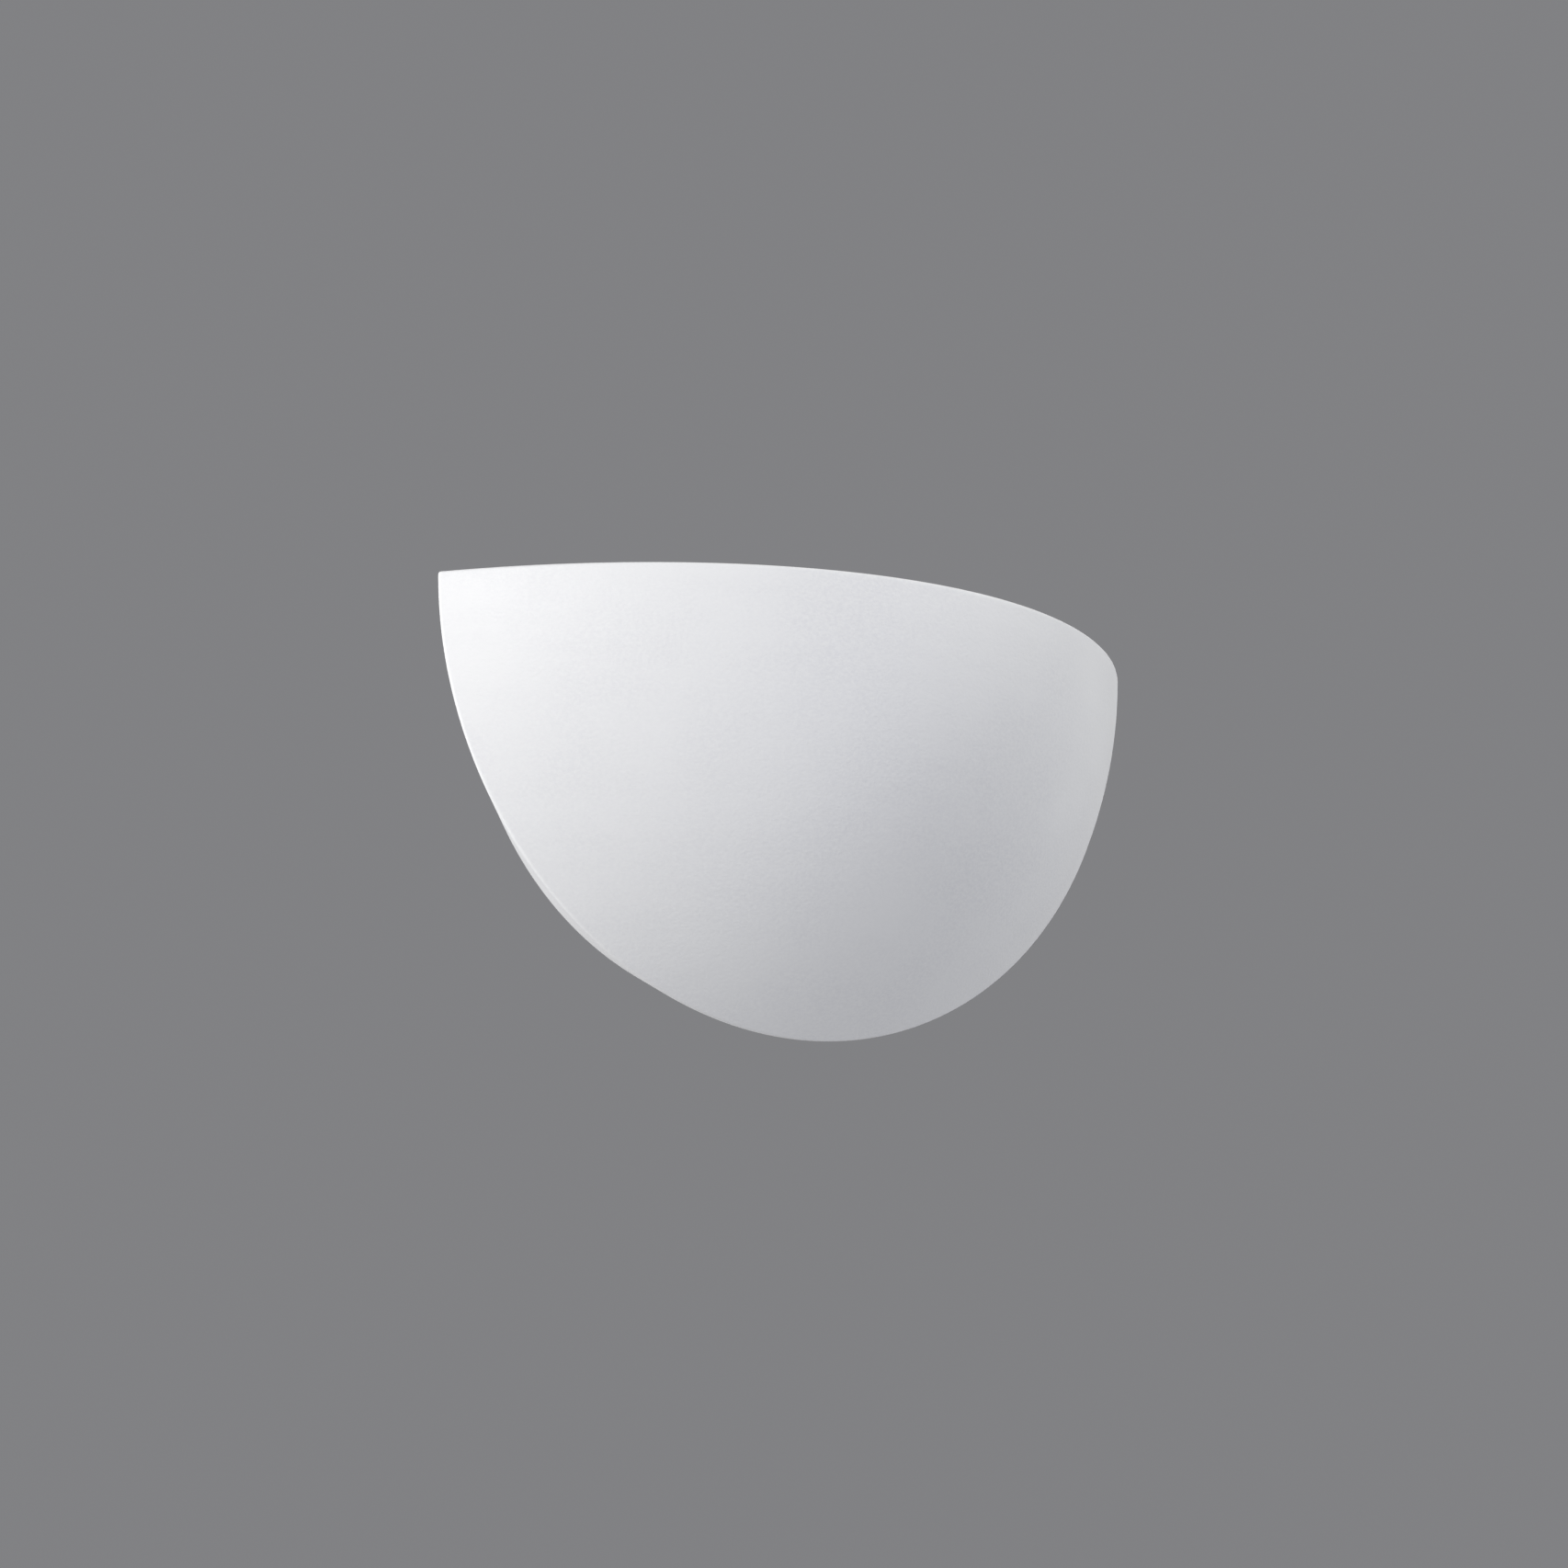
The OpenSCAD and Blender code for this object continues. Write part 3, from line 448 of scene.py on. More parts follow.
# Lengths in millimetres, and numbers of faces and points
RIM_ROUND = 0.9                        # rounding of the rim and of the back edge
CREASE_ROUND = 1.4                     # how far the crease's rounding runs to each side, outside
INNER_ROUND = 4.0                      # and inside
CORE = 0.42                            # share of the dome that an even grid covers, so that it has no pole
GRID_SIDE = 34                         # faces from the middle of that grid to its edge
DOME_ROWS = 22                         # rows of faces from the crease's rounding to the grid
CREASE_POINTS = 9                      # points across the crease's rounding
TAPER_ROWS = 14                        # rows of faces from the back edge to the crease's rounding
POCKET_POINTS = 28                     # points round the front end of a pocket, pad or slot
CONE_FRONT = HALF - 4.0                # half width of the cone that trims the pads, at the crease
CONE_BACK = HALF - SIDE_TAPER - 5.5    # and at the wall
CONE_POINTS = 96                       # points round that cone
PAD_BACK = -DOT - 0.05                 # where a pad ends, just in front of the shade's back edge
PAD_END = 150.0                        # how far out a pad reaches before it is trimmed
CUT_START = 60.0                       # where a slot's cut starts, further in than the pad
CUT_END = 170.0                        # where all cuts end, clear of the shade's side
CUT_BACK = 5.0                         # how far they run on past the back edge


class Skin:
    """One face of the ceramic, outer or inner: a dome in front of the crease and a taper behind it."""

    def __init__(self, half, drop, depth, back_half, back_drop, fillet):
        self.half = half
        self.drop = drop
        self.back_half = back_half
        self.fillet = fillet
        # The dome's half axes to the front and to the side
        self.reach = depth + CENTRE
        self.swell = half / math.sqrt(1 - (CENTRE / self.reach) ** 2)
        # How far the middle of the taper's section sinks on its way back
        self.sag = back_drop - back_half * drop / half
        # The dome's slope at the crease, and the share of the dome where the crease's rounding ends
        self.slope = math.hypot(1, self.swell ** 2 / self.reach ** 2 * CENTRE / half)
        self.edge = 1 - fillet * math.sqrt(1 - 1 / self.slope ** 2) / half

    def dome(self, x, z):
        """The point of the dome at x and z, given as shares of the crease's half width and depth."""
        q = self.half * math.hypot(x, z)
        y = -RETURN - self.reach * math.sqrt(max(0, 1 - (q / self.swell) ** 2)) + CENTRE
        return np.array((self.half * x, y, self.drop * z))

    def taper(self, turn, s):
        """The point of the taper at a share s of the way back. turn runs from -1 to 1 round the section."""
        r = self.half + s * (self.back_half - self.half)
        past = math.asin(self.sag * s * self.half / (self.drop * r))
        a = turn * (math.pi / 2 + past)
        z = -self.drop / self.half * r * math.cos(a) - self.sag * s
        return np.array((r * math.sin(a), -RETURN + TAPER_L * s, z))

    def column(self, x, z, shares):
        """Points from the back edge over the crease to the inner grid, in one direction from the middle."""
        turn = math.atan2(x, -z) / (math.pi / 2)
        length = np.linalg.norm(self.taper(turn, 1) - self.taper(turn, 0))
        share = self.fillet / length
        near = self.taper(turn, share)
        tip = self.taper(turn, 0)
        far = self.dome(self.edge * x, self.edge * z)
        rows = [self.taper(turn, 1 - (1 - share) * i / TAPER_ROWS) for i in range(TAPER_ROWS)]
        rows += bezier(near, tip, far, CREASE_POINTS)
        return rows + [self.dome(self.edge * s * x, self.edge * s * z) for s in shares]


def half_disc(u, v):
    """Carries the half square -1..1 by -1..0 to the half disc, evenly and with no pole."""
    return u * math.sqrt(1 - v * v / 2), v * math.sqrt(1 - u * u / 2)


def skin_grid(skin):
    """The skin as rows of points: columns round the crease, and the grid in the middle of the dome."""
    side = GRID_SIDE
    wide = 2 * side
    shares = [1 - (1 - CORE) * (i / DOME_ROWS) for i in range(1, DOME_ROWS + 1)]
    rim = [(-1, -j / side) for j in range(side)]
    rim += [(-1 + 2 * i / wide, -1) for i in range(wide)]
    rim += [(1, -1 + j / side) for j in range(side + 1)]
    columns = [skin.column(*half_disc(u, v), shares) for u, v in rim]
    k = skin.edge * CORE
    grid = [[skin.dome(*(k * c for c in half_disc(-1 + 2 * i / wide, -j / side)))
             for i in range(wide + 1)] for j in range(side + 1)]
    return columns, grid


def add_skin(skin, points):
    """Adds a skin's points. Returns its faces, and its points along the rim and along the back edge."""
    columns, grid = skin_grid(skin)
    side = GRID_SIDE
    wide = 2 * side
    last = len(columns[0]) - 1
    end = len(columns) - 1
    index = {}

    def put(key, p):
        index[key] = len(points)
        points.append((p[0], p[1], p[2] + RIM))

    for c, rows in enumerate(columns):
        for r, p in enumerate(rows):
            put(("column", c, r), p)
    for j in range(side + 1):
        for i in range(wide + 1):
            if 0 < i < wide and j < side:
                put(("grid", i, j), grid[j][i])
            else:
                c = j if i == 0 else side + i if j == side else wide + 2 * side - j
                index["grid", i, j] = index["column", c, last]

    faces = [[index[("column", *corner)] for corner in ((c, r), (c + 1, r), (c + 1, r + 1), (c, r + 1))]
             for c in range(end) for r in range(last)]
    faces += [[index[("grid", *corner)] for corner in ((i, j), (i, j + 1), (i + 1, j + 1), (i + 1, j))]
              for j in range(side) for i in range(wide)]
    rim = [index["column", 0, r] for r in range(last + 1)]
    rim += [index["grid", i, 0] for i in range(1, wide)]
    rim += [index["column", end, r] for r in range(last, -1, -1)]
    back = [index["column", c, 0] for c in range(end + 1)]
    return faces, rim, back


def shell_mesh():
    """Points and faces of the whole shell, and its edges at the rim and at the back as pairs of points."""
    outer = Skin(HALF, DROP, DOME, HALF - SIDE_TAPER, DROP - FOOT_TAPER, CREASE_ROUND)
    slant = WALL * math.hypot(1, SIDE_TAPER / TAPER_L)
    foot = WALL * math.hypot(1, FOOT_TAPER / TAPER_L)
    front = WALL * outer.slope
    inner = Skin(HALF - (front + slant) / 2, DROP - (front + foot) / 2, DOME - WALL,
                 outer.back_half - slant, DROP - FOOT_TAPER - foot, INNER_ROUND)
    points = []
    faces, outer_rim, outer_back = add_skin(outer, points)
    inner_faces, inner_rim, inner_back = add_skin(inner, points)
    faces += [face[::-1] for face in inner_faces]
    for a, b, step in ((outer_rim, inner_rim, 1), (outer_back, inner_back, -1)):
        faces += [[a[i], b[i], b[i + 1], a[i + 1]][::step] for i in range(len(a) - 1)]
    lines = (outer_rim, outer_back, inner_rim, inner_back)
    pairs = [pair for line in lines for pair in zip(line, line[1:])]
    pairs += [(outer_back[k], inner_back[k]) for k in (0, -1)]
    return points, faces, pairs


def round_edges(shell, pairs):
    """Rounds the shell's edges between pairs of points."""
    bm = bmesh.new()
    bm.from_mesh(shell.data)
    bm.verts.ensure_lookup_table()
    edges = [bm.edges.get((bm.verts[a], bm.verts[b])) for a, b in pairs]
    bmesh.ops.recalc_face_normals(bm, faces=bm.faces)
    bmesh.ops.bevel(bm, geom=edges, offset=RIM_ROUND * MM, offset_type="OFFSET", segments=3,
                    profile=0.5, affect="EDGES", clamp_overlap=True)
    bm.to_mesh(shell.data)
    bm.free()


def prism(name, outline, x0, x1):
    """A closed bar along X between two places, from an outline in y and z."""
    points = [(x, y, z) for x in (x0, x1) for y, z in outline]
    n = len(outline)
    obj = mesh_object(name, points, cap_faces(2, n) + tube_faces(2, n))
    tidy(obj)
    return obj


def keyhole(radius, back):
    """A half circle round the thumbscrew, run back to the wall."""
    turns = np.linspace(-math.pi / 2, math.pi / 2, POCKET_POINTS)
    front = [(-SCREW_Y - radius * math.cos(t), radius * math.sin(t)) for t in turns]
    return [(back, -radius)] + front + [(back, radius)]


def trimming_cone():
    """A closed cone that runs through the middle of the taper's wall. The pads end on it."""
    sag = (DROP - FOOT_TAPER) - (HALF - SIDE_TAPER) * DROP / HALF
    turns = np.linspace(0, 2 * math.pi, CONE_POINTS, endpoint=False)
    points = []
    for half, y, sink in ((CONE_FRONT, -RETURN, 0), (CONE_BACK, 0, sag)):
        points += [(half * math.sin(t), y, RIM - sink + half * DROP / HALF * math.cos(t)) for t in turns]
    cone = mesh_object("cone", points, tube_faces(2, CONE_POINTS) + cap_faces(2, CONE_POINTS))
    tidy(cone)
    return cone


def build_shade():
    """The ceramic shell with its two screw pads, and a pocket and a slot through each."""
    points, faces, pairs = shell_mesh()
    shell = mesh_object("ceramic_shade", points, faces)
    round_edges(shell, pairs)
    for side in (-1, 1):
        outline = keyhole(POCKET + POCKET_WALL, PAD_BACK)
        pad = prism("pad", outline, side * (SEAT_X - SEAT_T), side * PAD_END)
        combine(pad, trimming_cone(), "INTERSECT")
        combine(shell, pad, "UNION")
        for radius, start in ((POCKET, SEAT_X), (SLOT, CUT_START)):
            cut = prism("cut", keyhole(radius, CUT_BACK), side * start, side * CUT_END)
            combine(shell, cut, "DIFFERENCE")
    smooth(shell)
    place(shell, "shade", "shade_ceramic", "shade_shell")


build_shade()


# ---------------------------------------------------------------- turned pieces

HEAD_COLUMNS = 12 * GROOVES            # columns of faces round a thumbscrew's head
SHANK_COLUMNS = 32                     # and round its shank
LAMP_COLUMNS = 96                      # and round the lamp's globe and collar
CAP_COLUMNS = 72                       # and round its cap
INSULATOR_COLUMNS = 64                 # and round its insulator
TIP_COLUMNS = 40                       # and round its contact tip
GROMMET_COLUMNS = 80                   # and round the grommet
LAMP_FOOT = (0, -LAMP_Y, BULB_Z)       # where the collar meets the cap, on the lamp's axis
UP = (0, 0, 1)
SEAM = math.sqrt(GLOBE ** 2 - (GLOBE_Z - COLLAR_H) ** 2)      # radius where the globe meets the collar


def arc(r, h, radius, start, end, steps):
    """Rows along an arc, from its centre and its angles in degrees."""
    turns = np.radians(np.linspace(start, end, steps))
    return [(r + radius * math.cos(t), h + radius * math.sin(t)) for t in turns]


def turned(name, rows, origin, axis, columns):
    """A piece turned round an axis, from rows of radius and height, which may vary round it."""
    turn = np.linspace(0, 2 * math.pi, columns, endpoint=False)
    up = np.array(axis, float)
    side = np.array((0.0, 1.0, 0.0) if abs(up[1]) < 0.5 else (0.0, 0.0, 1.0))
    across = np.cross(up, side)
    points = []
    for r, h in rows:
        r = np.broadcast_to(r, columns)
        h = np.broadcast_to(h, columns)
        ring = np.outer(r * np.cos(turn), side) + np.outer(r * np.sin(turn), across) + np.outer(h, up)
        points += list(ring + np.array(origin))
    obj = mesh_object(name, points, tube_faces(len(rows), columns))
    tidy(obj)
    return obj


def thread_rows(root, crest, start, end, pitch, columns, sharp, steps):
    """Rows of a right-handed thread that fades out at both ends, with so many steps to a turn."""
    turn = np.linspace(0, 2 * math.pi, columns, endpoint=False)
    rows = []
    for h in np.linspace(start, end, int((end - start) / pitch * steps)):
        wave = 0.5 + 0.5 * np.cos(2 * math.pi * h / pitch - turn)
        fade = min(1, (h - start) / pitch, (end - h) / pitch)
        rows.append((crest - (crest - root) * (1 - wave ** sharp) * fade, h))
    return rows


def build_thumbscrew(side, name, node):
    """A knurled head with a chamfer and a turned recess, on a threaded shank."""
    axis = (side, 0, 0)
    origin = (side * HEAD_X, -SCREW_Y, 0)
    turn = np.linspace(0, 2 * math.pi, HEAD_COLUMNS, endpoint=False)
    groove = GROOVE * np.maximum(0, np.cos(GROOVES * turn)) ** 0.7
    recess = HEAD / 2
    rows = [(0, 0), (HEAD - 0.3, 0)]
    rows += arc(HEAD - 0.3, 0.3, 0.3, -90, 0, 4)
    rows += [(HEAD, 0.9)]
    rows += [(HEAD - k * groove, 0.9 + 0.35 * k) for k in (0.3, 0.7, 1.0)]
    rows += [(HEAD - groove, h) for h in np.linspace(1.6, HEAD_H - 0.9, 6)]
    rows += [(HEAD - 0.12 - groove, HEAD_H - 0.75), (HEAD - 0.5 - 0.6 * groove, HEAD_H - 0.35)]
    rows += [(HEAD - 0.8 - 0.3 * groove, HEAD_H - 0.08), (HEAD - 1.0, HEAD_H)]
    rows += [(recess + 0.2, HEAD_H), (recess, HEAD_H - 0.2), (recess, HEAD_H - 0.8)]
    rows += [(recess - 0.2, HEAD_H - 1), (0, HEAD_H - 1)]
    head = turned(name, rows, origin, axis, HEAD_COLUMNS)

    rows = [(0, -SHANK_L), (SHANK / 2, -SHANK_L), (SHANK * 0.85, 0.8 - SHANK_L)]
    rows += thread_rows(SHANK - THREAD_DEPTH, SHANK, 0.9 - SHANK_L, -1.2,
                        THREAD_PITCH, SHANK_COLUMNS, sharp=0.8, steps=8)
    rows += [(SHANK, -1.1), (SHANK, 0.5), (0, 0.5)]
    shank = turned("shank", rows, origin, axis, SHANK_COLUMNS)
    join(head, shank)
    smooth(head, 32)
    place(head, body_of[node], slot_of[node], node)


def build_globe():
    """The lamp's globe. It casts no shadow, so that the light inside it reaches the shade."""
    start = math.degrees(math.asin((COLLAR_H - GLOBE_Z) / GLOBE))
    rows = [(0, COLLAR_H), (SEAM - 0.5, COLLAR_H), (SEAM - 0.28, COLLAR_H + 0.12)]
    rows += arc(0, GLOBE_Z, GLOBE, start + 1.0, 89, 56)
    rows += [(0, GLOBE_Z + GLOBE)]
    globe = turned("frosted_glass", rows, LAMP_FOOT, UP, LAMP_COLUMNS)
    smooth(globe, weighted=False)
    globe.visible_shadow = False
    place(globe, "bulb", "frosted_globe", "bulb_globe")


def build_collar():
    """The lamp's white collar, with a rounded foot and a flare up to the globe."""
    rows = [(0, 0), (COLLAR - 0.5, 0)]
    rows += arc(COLLAR - 0.5, 0.5, 0.5, -90, 0, 5)
    rows += bezier((COLLAR, 1.8), (COLLAR, 3.2), (COLLAR + 1.6, 5.8), 9)
    rows += [(SEAM - 0.12, COLLAR_H - 0.35), (SEAM - 0.1, COLLAR_H - 0.12)]
    rows += [(SEAM - 0.3, COLLAR_H), (0, COLLAR_H)]
    collar = turned("lamp_collar", rows, LAMP_FOOT, UP, LAMP_COLUMNS)
    smooth(collar, 32)
    place(collar, "bulb", "bulb_white", "bulb_collar")


def build_cap():
    """The lamp's screw cap, with its round thread."""
    rows = [(0, 0), (CAP, 0), (CAP, -0.6), (CAP - 0.12, -1.0), (CAP - 0.12, -1.6)]
    rows += thread_rows(CAP - CAP_DEPTH, CAP - 0.02, 0.9 - CAP_L, -1.8,
                        CAP_PITCH, CAP_COLUMNS, sharp=0.75, steps=14)[::-1]
    rows += [(CAP - 0.2, 0.5 - CAP_L), (CAP - 0.6, 0.1 - CAP_L), (CAP - 0.95, -CAP_L), (0, -CAP_L)]
    cap = turned("screw_cap", rows, LAMP_FOOT, UP, CAP_COLUMNS)
    smooth(cap)
    place(cap, "bulb", "nickel", "bulb_cap")


def build_insulator():
    """The black insulator under the cap, which narrows to the contact tip."""
    rows = [(0, -CAP_L), (CAP - 1, -CAP_L)]
    rows += [(CAP - 1 - 2.65 * t ** 1.35, -CAP_L - INSULATOR_H * t) for t in np.linspace(0.1, 1, 10)]
    rows += [(0, -CAP_L - INSULATOR_H)]
    glass = turned("cap_insulator", rows, LAMP_FOOT, UP, INSULATOR_COLUMNS)
    smooth(glass)
    place(glass, "bulb", "black_glass", "bulb_insulator")


def build_tip():
    """The lamp's contact tip, a low dome."""
    foot = -CAP_L - INSULATOR_H
    edge = foot - 0.3
    rows = [(0, foot), (TIP, foot), (TIP, edge)]
    rows += [(TIP * math.cos(t), edge - (TIP_H - 0.3) * math.sin(t)) for t in np.linspace(0.2, 1.5, 8)]
    rows += [(0, foot - TIP_H)]
    tip = turned("solder_tip", rows, LAMP_FOOT, UP, TIP_COLUMNS)
    smooth(tip)
    place(tip, "bulb_tip", "nickel", "bulb_tip")


def build_grommet():
    """A rubber ring with two rounded lips and a rounded bore."""
    back = DISH_UP - BACK_LIP
    steel = DISH_UP + PLATE
    front = steel + FRONT_LIP
    bore = GROMMET_BORE
    neck = GROMMET_HOLE - 0.1
    lip = GROMMET_LIP
    rows = arc(bore + 0.6, back + 0.6, 0.6, 180, 270, 5)
    rows += arc(lip - 0.7, back + 0.7, 0.7, -90, 0, 6)
    rows += [(lip, DISH_UP - 0.1), (lip - 0.1, DISH_UP), (neck, DISH_UP), (neck, steel)]
    rows += [(lip - 0.1, steel), (lip, steel + 0.1)]
    rows += arc(lip - 1.2, front - 1.2, 1.2, 0, 80, 7)
    rows += [(bore + 3.2, front - 0.05), (bore + 2.2, front - 0.45), (bore + 1.3, front - 0.5)]
    rows += arc(bore + 0.7, front - 1.2, 0.7, 90, 180, 5)
    rows += [(bore, back + 0.6)]
    ring = turned("rubber_grommet", rows, (0, 0, 0), (0, -1, 0), GROMMET_COLUMNS)
    smooth(ring)
    place(ring, "wall_bracket", "grommet_rubber", "cable_grommet")


# ---------------------------------------------------------------- leads

LEAD_SIDES = 24      # columns of faces round a lead
LEAD_STEPS = 12      # rings from one point of its route to the next


def smooth_route(points):
    """The same curve through a lead's points as in the source."""
    p = [points[0]] + points + [points[-1]]
    path = []
    for i in range(1, len(p) - 2):
        a, b, c, d = p[i - 1:i + 3]
        for t in np.arange(LEAD_STEPS) / LEAD_STEPS:
            path.append(0.5 * (2 * b + (c - a) * t + (2 * a - 5 * b + 4 * c - d) * t ** 2
                               + (3 * b - a - 3 * c + d) * t ** 3))
    return path + [points[-1]]


def map_along(obj, length):
    """Gives a lead a map of its turn and its length, for the stripes."""
    layer = obj.data.uv_layers.new(name="along")
    for face in obj.data.polygons:
        corners = [obj.data.loops[j].vertex_index for j in face.loop_indices]
        columns = [v % LEAD_SIDES for v in corners]
        wraps = len(corners) == 4 and 0 in columns and LEAD_SIDES - 1 in columns
        for j, v, column in zip(face.loop_indices, corners, columns):
            around = 1.0 if wraps and column == 0 else column / LEAD_SIDES
            layer.data[j].uv = (around, length[v // LEAD_SIDES] * MM)


def build_lead(name, node, points):
    """A round lead along a route."""
    path = smooth_route([np.array(p, float) for p in points])
    turn = np.linspace(0, 2 * math.pi, LEAD_SIDES, endpoint=False)
    normal = np.array((0.3, 0.2, 1.0))
    rings = []
    length = [0.0]
    for i, p in enumerate(path):
        ahead = path[min(i + 1, len(path) - 1)] - path[max(i - 1, 0)]
        ahead /= np.linalg.norm(ahead)
        normal = normal - normal.dot(ahead) * ahead
        normal /= np.linalg.norm(normal)
        across = np.cross(ahead, normal)
        rings += [p + LEAD / 2 * (math.cos(t) * normal + math.sin(t) * across) for t in turn]
        if i:
            length.append(length[-1] + np.linalg.norm(p - path[i - 1]))
    obj = mesh_object(name, rings, tube_faces(len(path), LEAD_SIDES) + cap_faces(len(path), LEAD_SIDES))
    map_along(obj, length)
    smooth(obj, weighted=False)
    place(obj, "wall_bracket", slot_of[node], node)


def off(base, x, y, z):
    """A point beside another, so many lead diameters away."""
    return tuple(b + LEAD * c for b, c in zip(base, (x, y, z)))


def build_holder_lead(name, node, pole, side, bow):
    """A lead from the foot of a terminal to a hole in the back of the lampholder."""
    start = (BLOCK_X + pole * POLE_GAP, -PLATE - TUBE_Y, -TUBE_L / 2)
    goal = (side * LEAD_END_X, LEAD_END_Y, LEAD_END_Z)
    middle = ((start[0] + goal[0]) / 2, start[1], (start[2] + goal[2]) / 2)
    door = (goal[0], FOOT - LAMP_Y, goal[2])
    build_lead(name, node, [
        start,
        off(start, 0, 0, -2.7),
        off(start, -1.2, -0.4, -6.2),
        off(middle, bow, -2.3, -bow),
        off(door, 2.3, 5, 1.9),
        off(door, 0.2, 2.3, 0.2),
        off(door, 0, 0.4, 0),
        goal,
    ])


def build_earth_lead():
    """The lead from the foot of the third terminal to the earth point."""
    start = (BLOCK_X - POLE_GAP, -PLATE - TUBE_Y, -TUBE_L / 2)
    goal = (EARTH_REACH - EARTH_X, EARTH_Y, 0)
    middle = (0, start[1], start[2])
    build_lead("earth_wire", "earth_lead", [
        start,
        off(start, 0, 0, -2.3),
        off(start, -1.5, -0.4, -4.2),
        off(middle, 3, -1.2, -4.6),
        off(middle, -3, -0.8, -3.8),
        off(goal, 3, -1, -1.3),
        off(goal, 1, 0, 0),
        goal,
    ])


# ---------------------------------------------------------------- softened pieces

WELD = 3e-6          # points of a node that lie nearer than this are joined, in metres
FLAT = 0.6           # faces that meet at less than this become one, in degrees
SHARP = 35           # edges sharper than this are rounded, in degrees


def softened(node, width, segments):
    """A copy of a node with its edges rounded a little, which stands for that node."""
    bm = bmesh.new()
    bm.from_mesh(frame["nodes"][node].data)
    bmesh.ops.remove_doubles(bm, verts=bm.verts, dist=WELD)
    bmesh.ops.dissolve_limit(bm, angle_limit=math.radians(FLAT), verts=bm.verts, edges=bm.edges)
    name = node + "_piece"
    data = bpy.data.meshes.new(name)
    bm.to_mesh(data)
    bm.free()
    obj = bpy.data.objects.new(name, data)
    bpy.context.scene.collection.objects.link(obj)
    m = obj.modifiers.new("edges", "BEVEL")
    m.width = width * MM
    m.segments = segments
    m.limit_method = "ANGLE"
    m.angle_limit = math.radians(SHARP)
    apply_modifiers(obj)
    smooth(obj, 30)
    place(obj, body_of[node], slot_of[node], node)


# The node, the width of its rounded edges in millimetres, and the number of faces across them
SOFTENED = (
    ("wall_plate", 0.35, 2),
    ("lamp_bracket", 0.3, 2),
    ("ear_nuts", 0.25, 2),
    ("holder_body", 0.45, 3),
    ("terminal_block", 0.2, 2),
    ("left_washer", 0.15, 2),
    ("right_washer", 0.15, 2),
    ("back_dots", 0.4, 3),
    ("bracket_screws", 0.25, 2),
    ("holder_screws", 0.2, 2),
    ("block_screws", 0.15, 2),
    ("earth_screw", 0.25, 2),
    ("earth_terminal", 0.12, 2),
    ("earth_washer", 0.1, 1),
)

build_thumbscrew(-1, "left_knurled_screw", "left_thumbscrew")
build_thumbscrew(1, "right_knurled_screw", "right_thumbscrew")
build_globe()
build_collar()
build_cap()
build_insulator()
build_tip()
build_grommet()
build_holder_lead("live_wire", "live_lead", 1, 1, 1.5)
build_holder_lead("neutral_wire", "neutral_lead", 0, -1, -0.8)
build_earth_lead()
for node, width, segments in SOFTENED:
    softened(node, width, segments)


# ---------------------------------------------------------------- camera, light and floor

CAMERA_PLACE = (-2.1023, -2.6842, -0.8079)      # in metres, fitted to the photograph
CAMERA_HEADING = 38.46                          # degrees from straight at the wall, towards the right
CAMERA_RISE = 13.392                            # degrees above level
CAMERA_LENS = 225.57                            # focal length in millimetres
SENSOR = 36                                     # width of its sensor in millimetres
FARTHEST = 100                                  # how far it sees, in metres
MIDDLE = Vector((0, -0.09, 0))                  # what the lights are aimed at, in metres
STUDIO_TONE = (0.22, 0.221, 0.23, 1)            # colour of the studio round the object
GLOW_POWER = 0.2                                # of the light inside the globe, in watts
GLOW_COLOR = (1.0, 0.72, 0.42)                  # its colour
GLOW_SIZE = 0.018                               # its radius in metres
FLOOR_HALF = 14000                              # half of the floor's width, in millimetres
FLOOR_Z = -2400                                 # height of the floor, in millimetres

# Name, azimuth and elevation in degrees, distance and diameter in metres, power in watts, colour.
# Azimuth 0 is straight in front of the wall, and -90 is on the left.
LIGHTS = (
    ("left_light", -70, 15, 2.4, 1.4, 44.4, (1.0, 1.0, 0.995)),
    ("low_light", 15, -20, 2.4, 1.4, 11.6, (0.84, 0.875, 1.0)),
    ("right_light", 60, 35, 2.4, 1.4, 28.9, (1.0, 1.0, 0.965)),
    ("rim_light", -140, -8, 2.4, 1.2, 30, (0.99, 0.99, 1.0)),
    ("back_light", 150, 35, 2.6, 1.8, 14, (1.0, 1.0, 1.0)),
)


def direction(azimuth, elevation):
    """The direction away from the object, from angles in degrees."""
    az = math.radians(azimuth)
    el = math.radians(elevation)
    return Vector((math.sin(az) * math.cos(el), -math.cos(az) * math.cos(el), math.sin(el)))


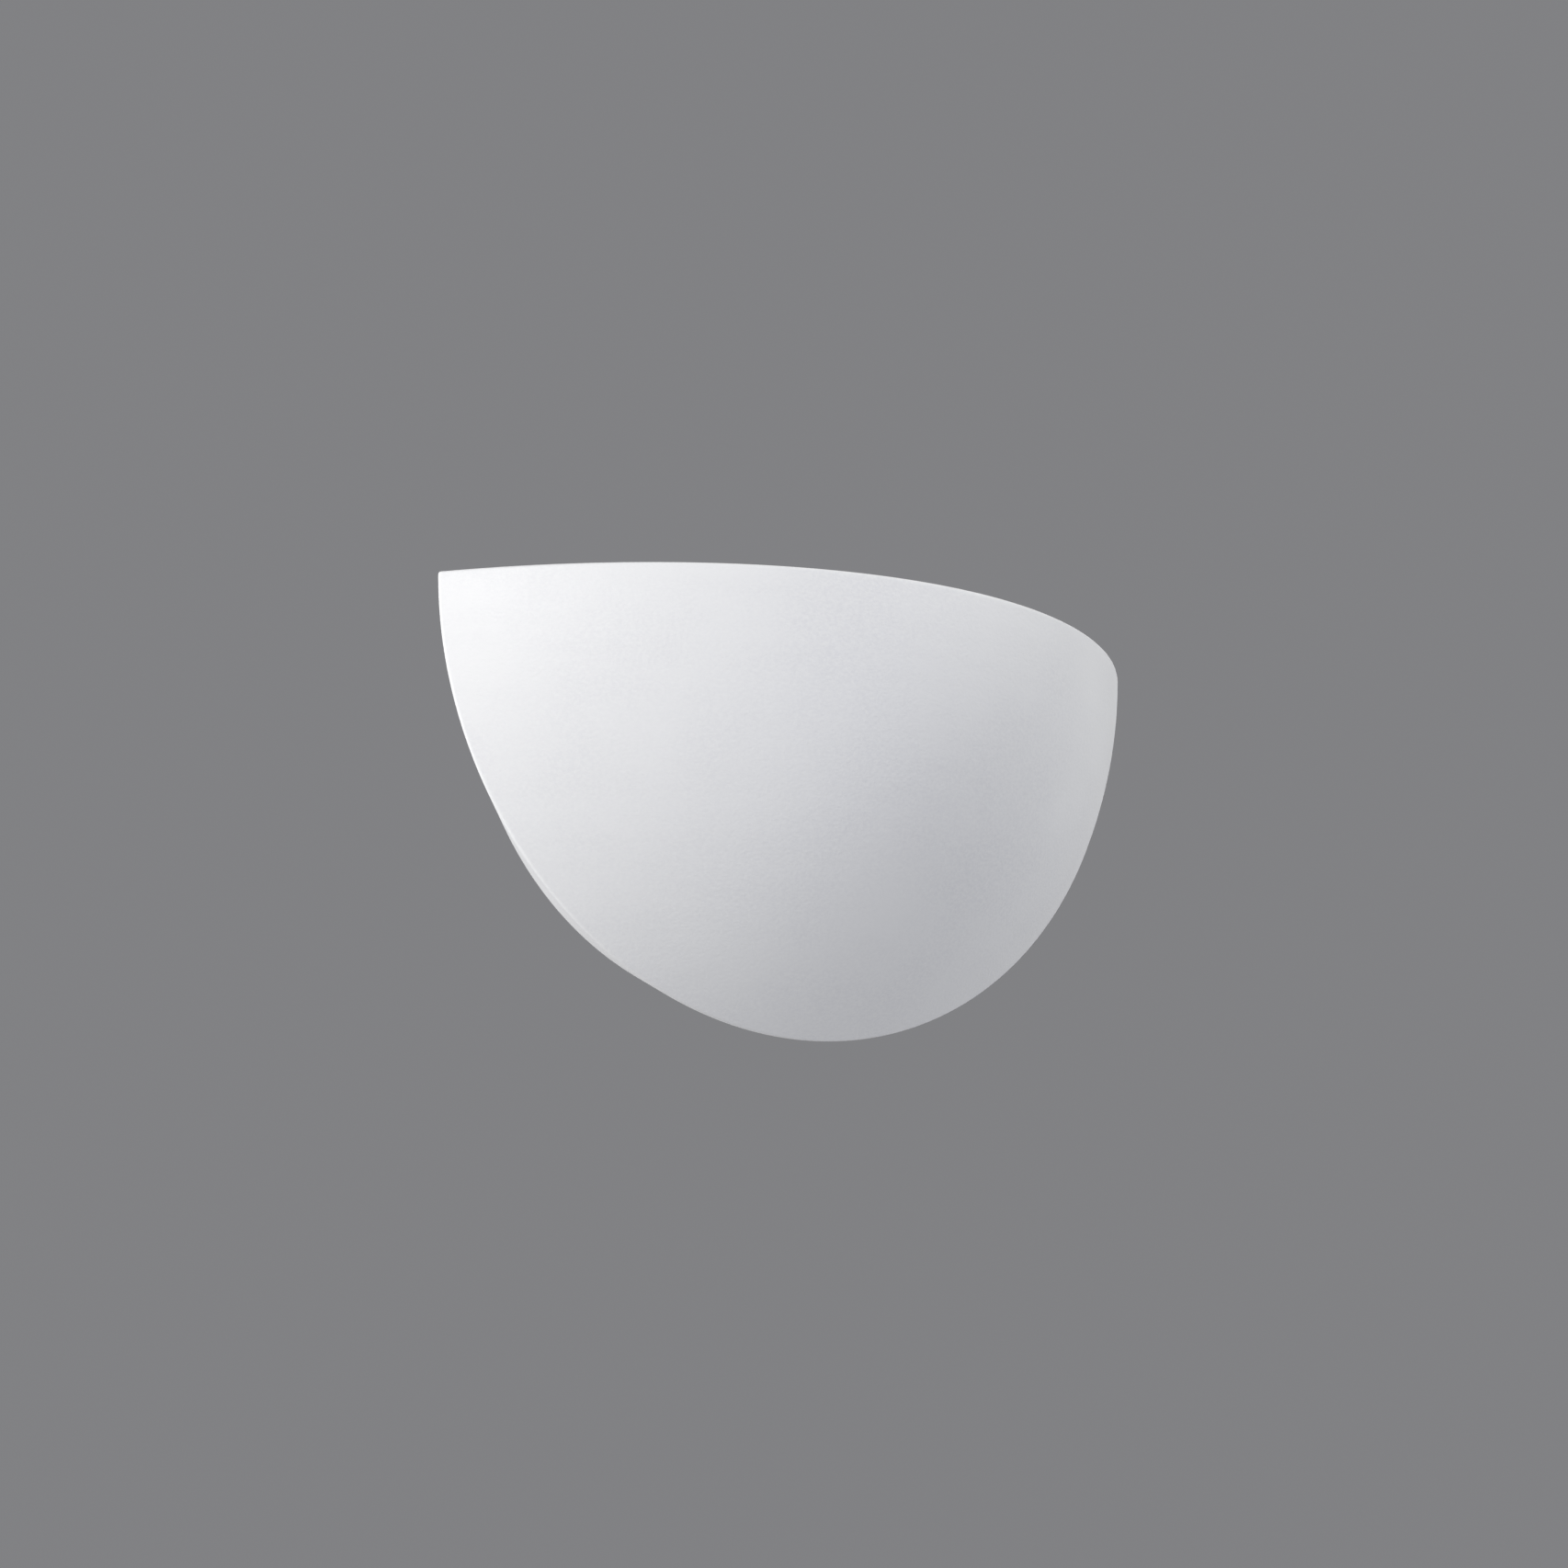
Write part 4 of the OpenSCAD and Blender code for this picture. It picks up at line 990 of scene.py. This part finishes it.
def soft_light(name, azimuth, elevation, distance, size, power, color):
    """A soft round light, aimed at the object."""
    away = direction(azimuth, elevation)
    data = bpy.data.lights.new(name, "AREA")
    data.shape = "DISK"
    data.size = size
    data.energy = power
    data.color = color
    obj = bpy.data.objects.new(name, data)
    obj.location = MIDDLE + distance * away
    obj.rotation_euler = (-away).to_track_quat("-Z", "Y").to_euler()
    bpy.context.scene.collection.objects.link(obj)


camera = bpy.data.objects.new("camera", bpy.data.cameras.new("camera"))
camera.location = CAMERA_PLACE
camera.rotation_euler = (-direction(-CAMERA_HEADING, -CAMERA_RISE)).to_track_quat("-Z", "Y").to_euler()
camera.data.lens = CAMERA_LENS
camera.data.sensor_width = SENSOR
camera.data.clip_end = FARTHEST
bpy.context.scene.collection.objects.link(camera)
bpy.context.scene.camera = camera

world = bpy.data.worlds.new("studio")
world.use_nodes = True
background = world.node_tree.nodes["Background"]
background.inputs["Color"].default_value = STUDIO_TONE
background.inputs["Strength"].default_value = 1.0
bpy.context.scene.world = world
bpy.context.scene.view_settings.view_transform = "Standard"

for light in LIGHTS:
    soft_light(*light)

# The lamp's own light, a small warm ball in the middle of the globe
glow = bpy.data.objects.new("lamp_glow", bpy.data.lights.new("lamp_glow", "POINT"))
glow.data.energy = GLOW_POWER
glow.data.color = GLOW_COLOR
glow.data.shadow_soft_size = GLOW_SIZE
glow.location = (0, -LAMP_Y * MM, (BULB_Z + GLOBE_Z) * MM)
bpy.context.scene.collection.objects.link(glow)

corners = [(x * FLOOR_HALF, y * FLOOR_HALF, FLOOR_Z) for x, y in ((-1, -1), (1, -1), (1, 1), (-1, 1))]
floor = mesh_object("floor", corners, [[0, 1, 2, 3]])
ground = Paint("pale_floor", (0.78, 0.78, 0.77), 0.6,
               Emission_Color=(0.79, 0.79, 0.8, 1), Emission_Strength=0.06)
patches = ground.span(ground.noise(3, 4), 0.3, 0.7)
ground.feed("Base Color", ground.blend(patches, (0.79, 0.79, 0.78), (0.76, 0.76, 0.75)))
floor.data.materials.append(ground.mat)
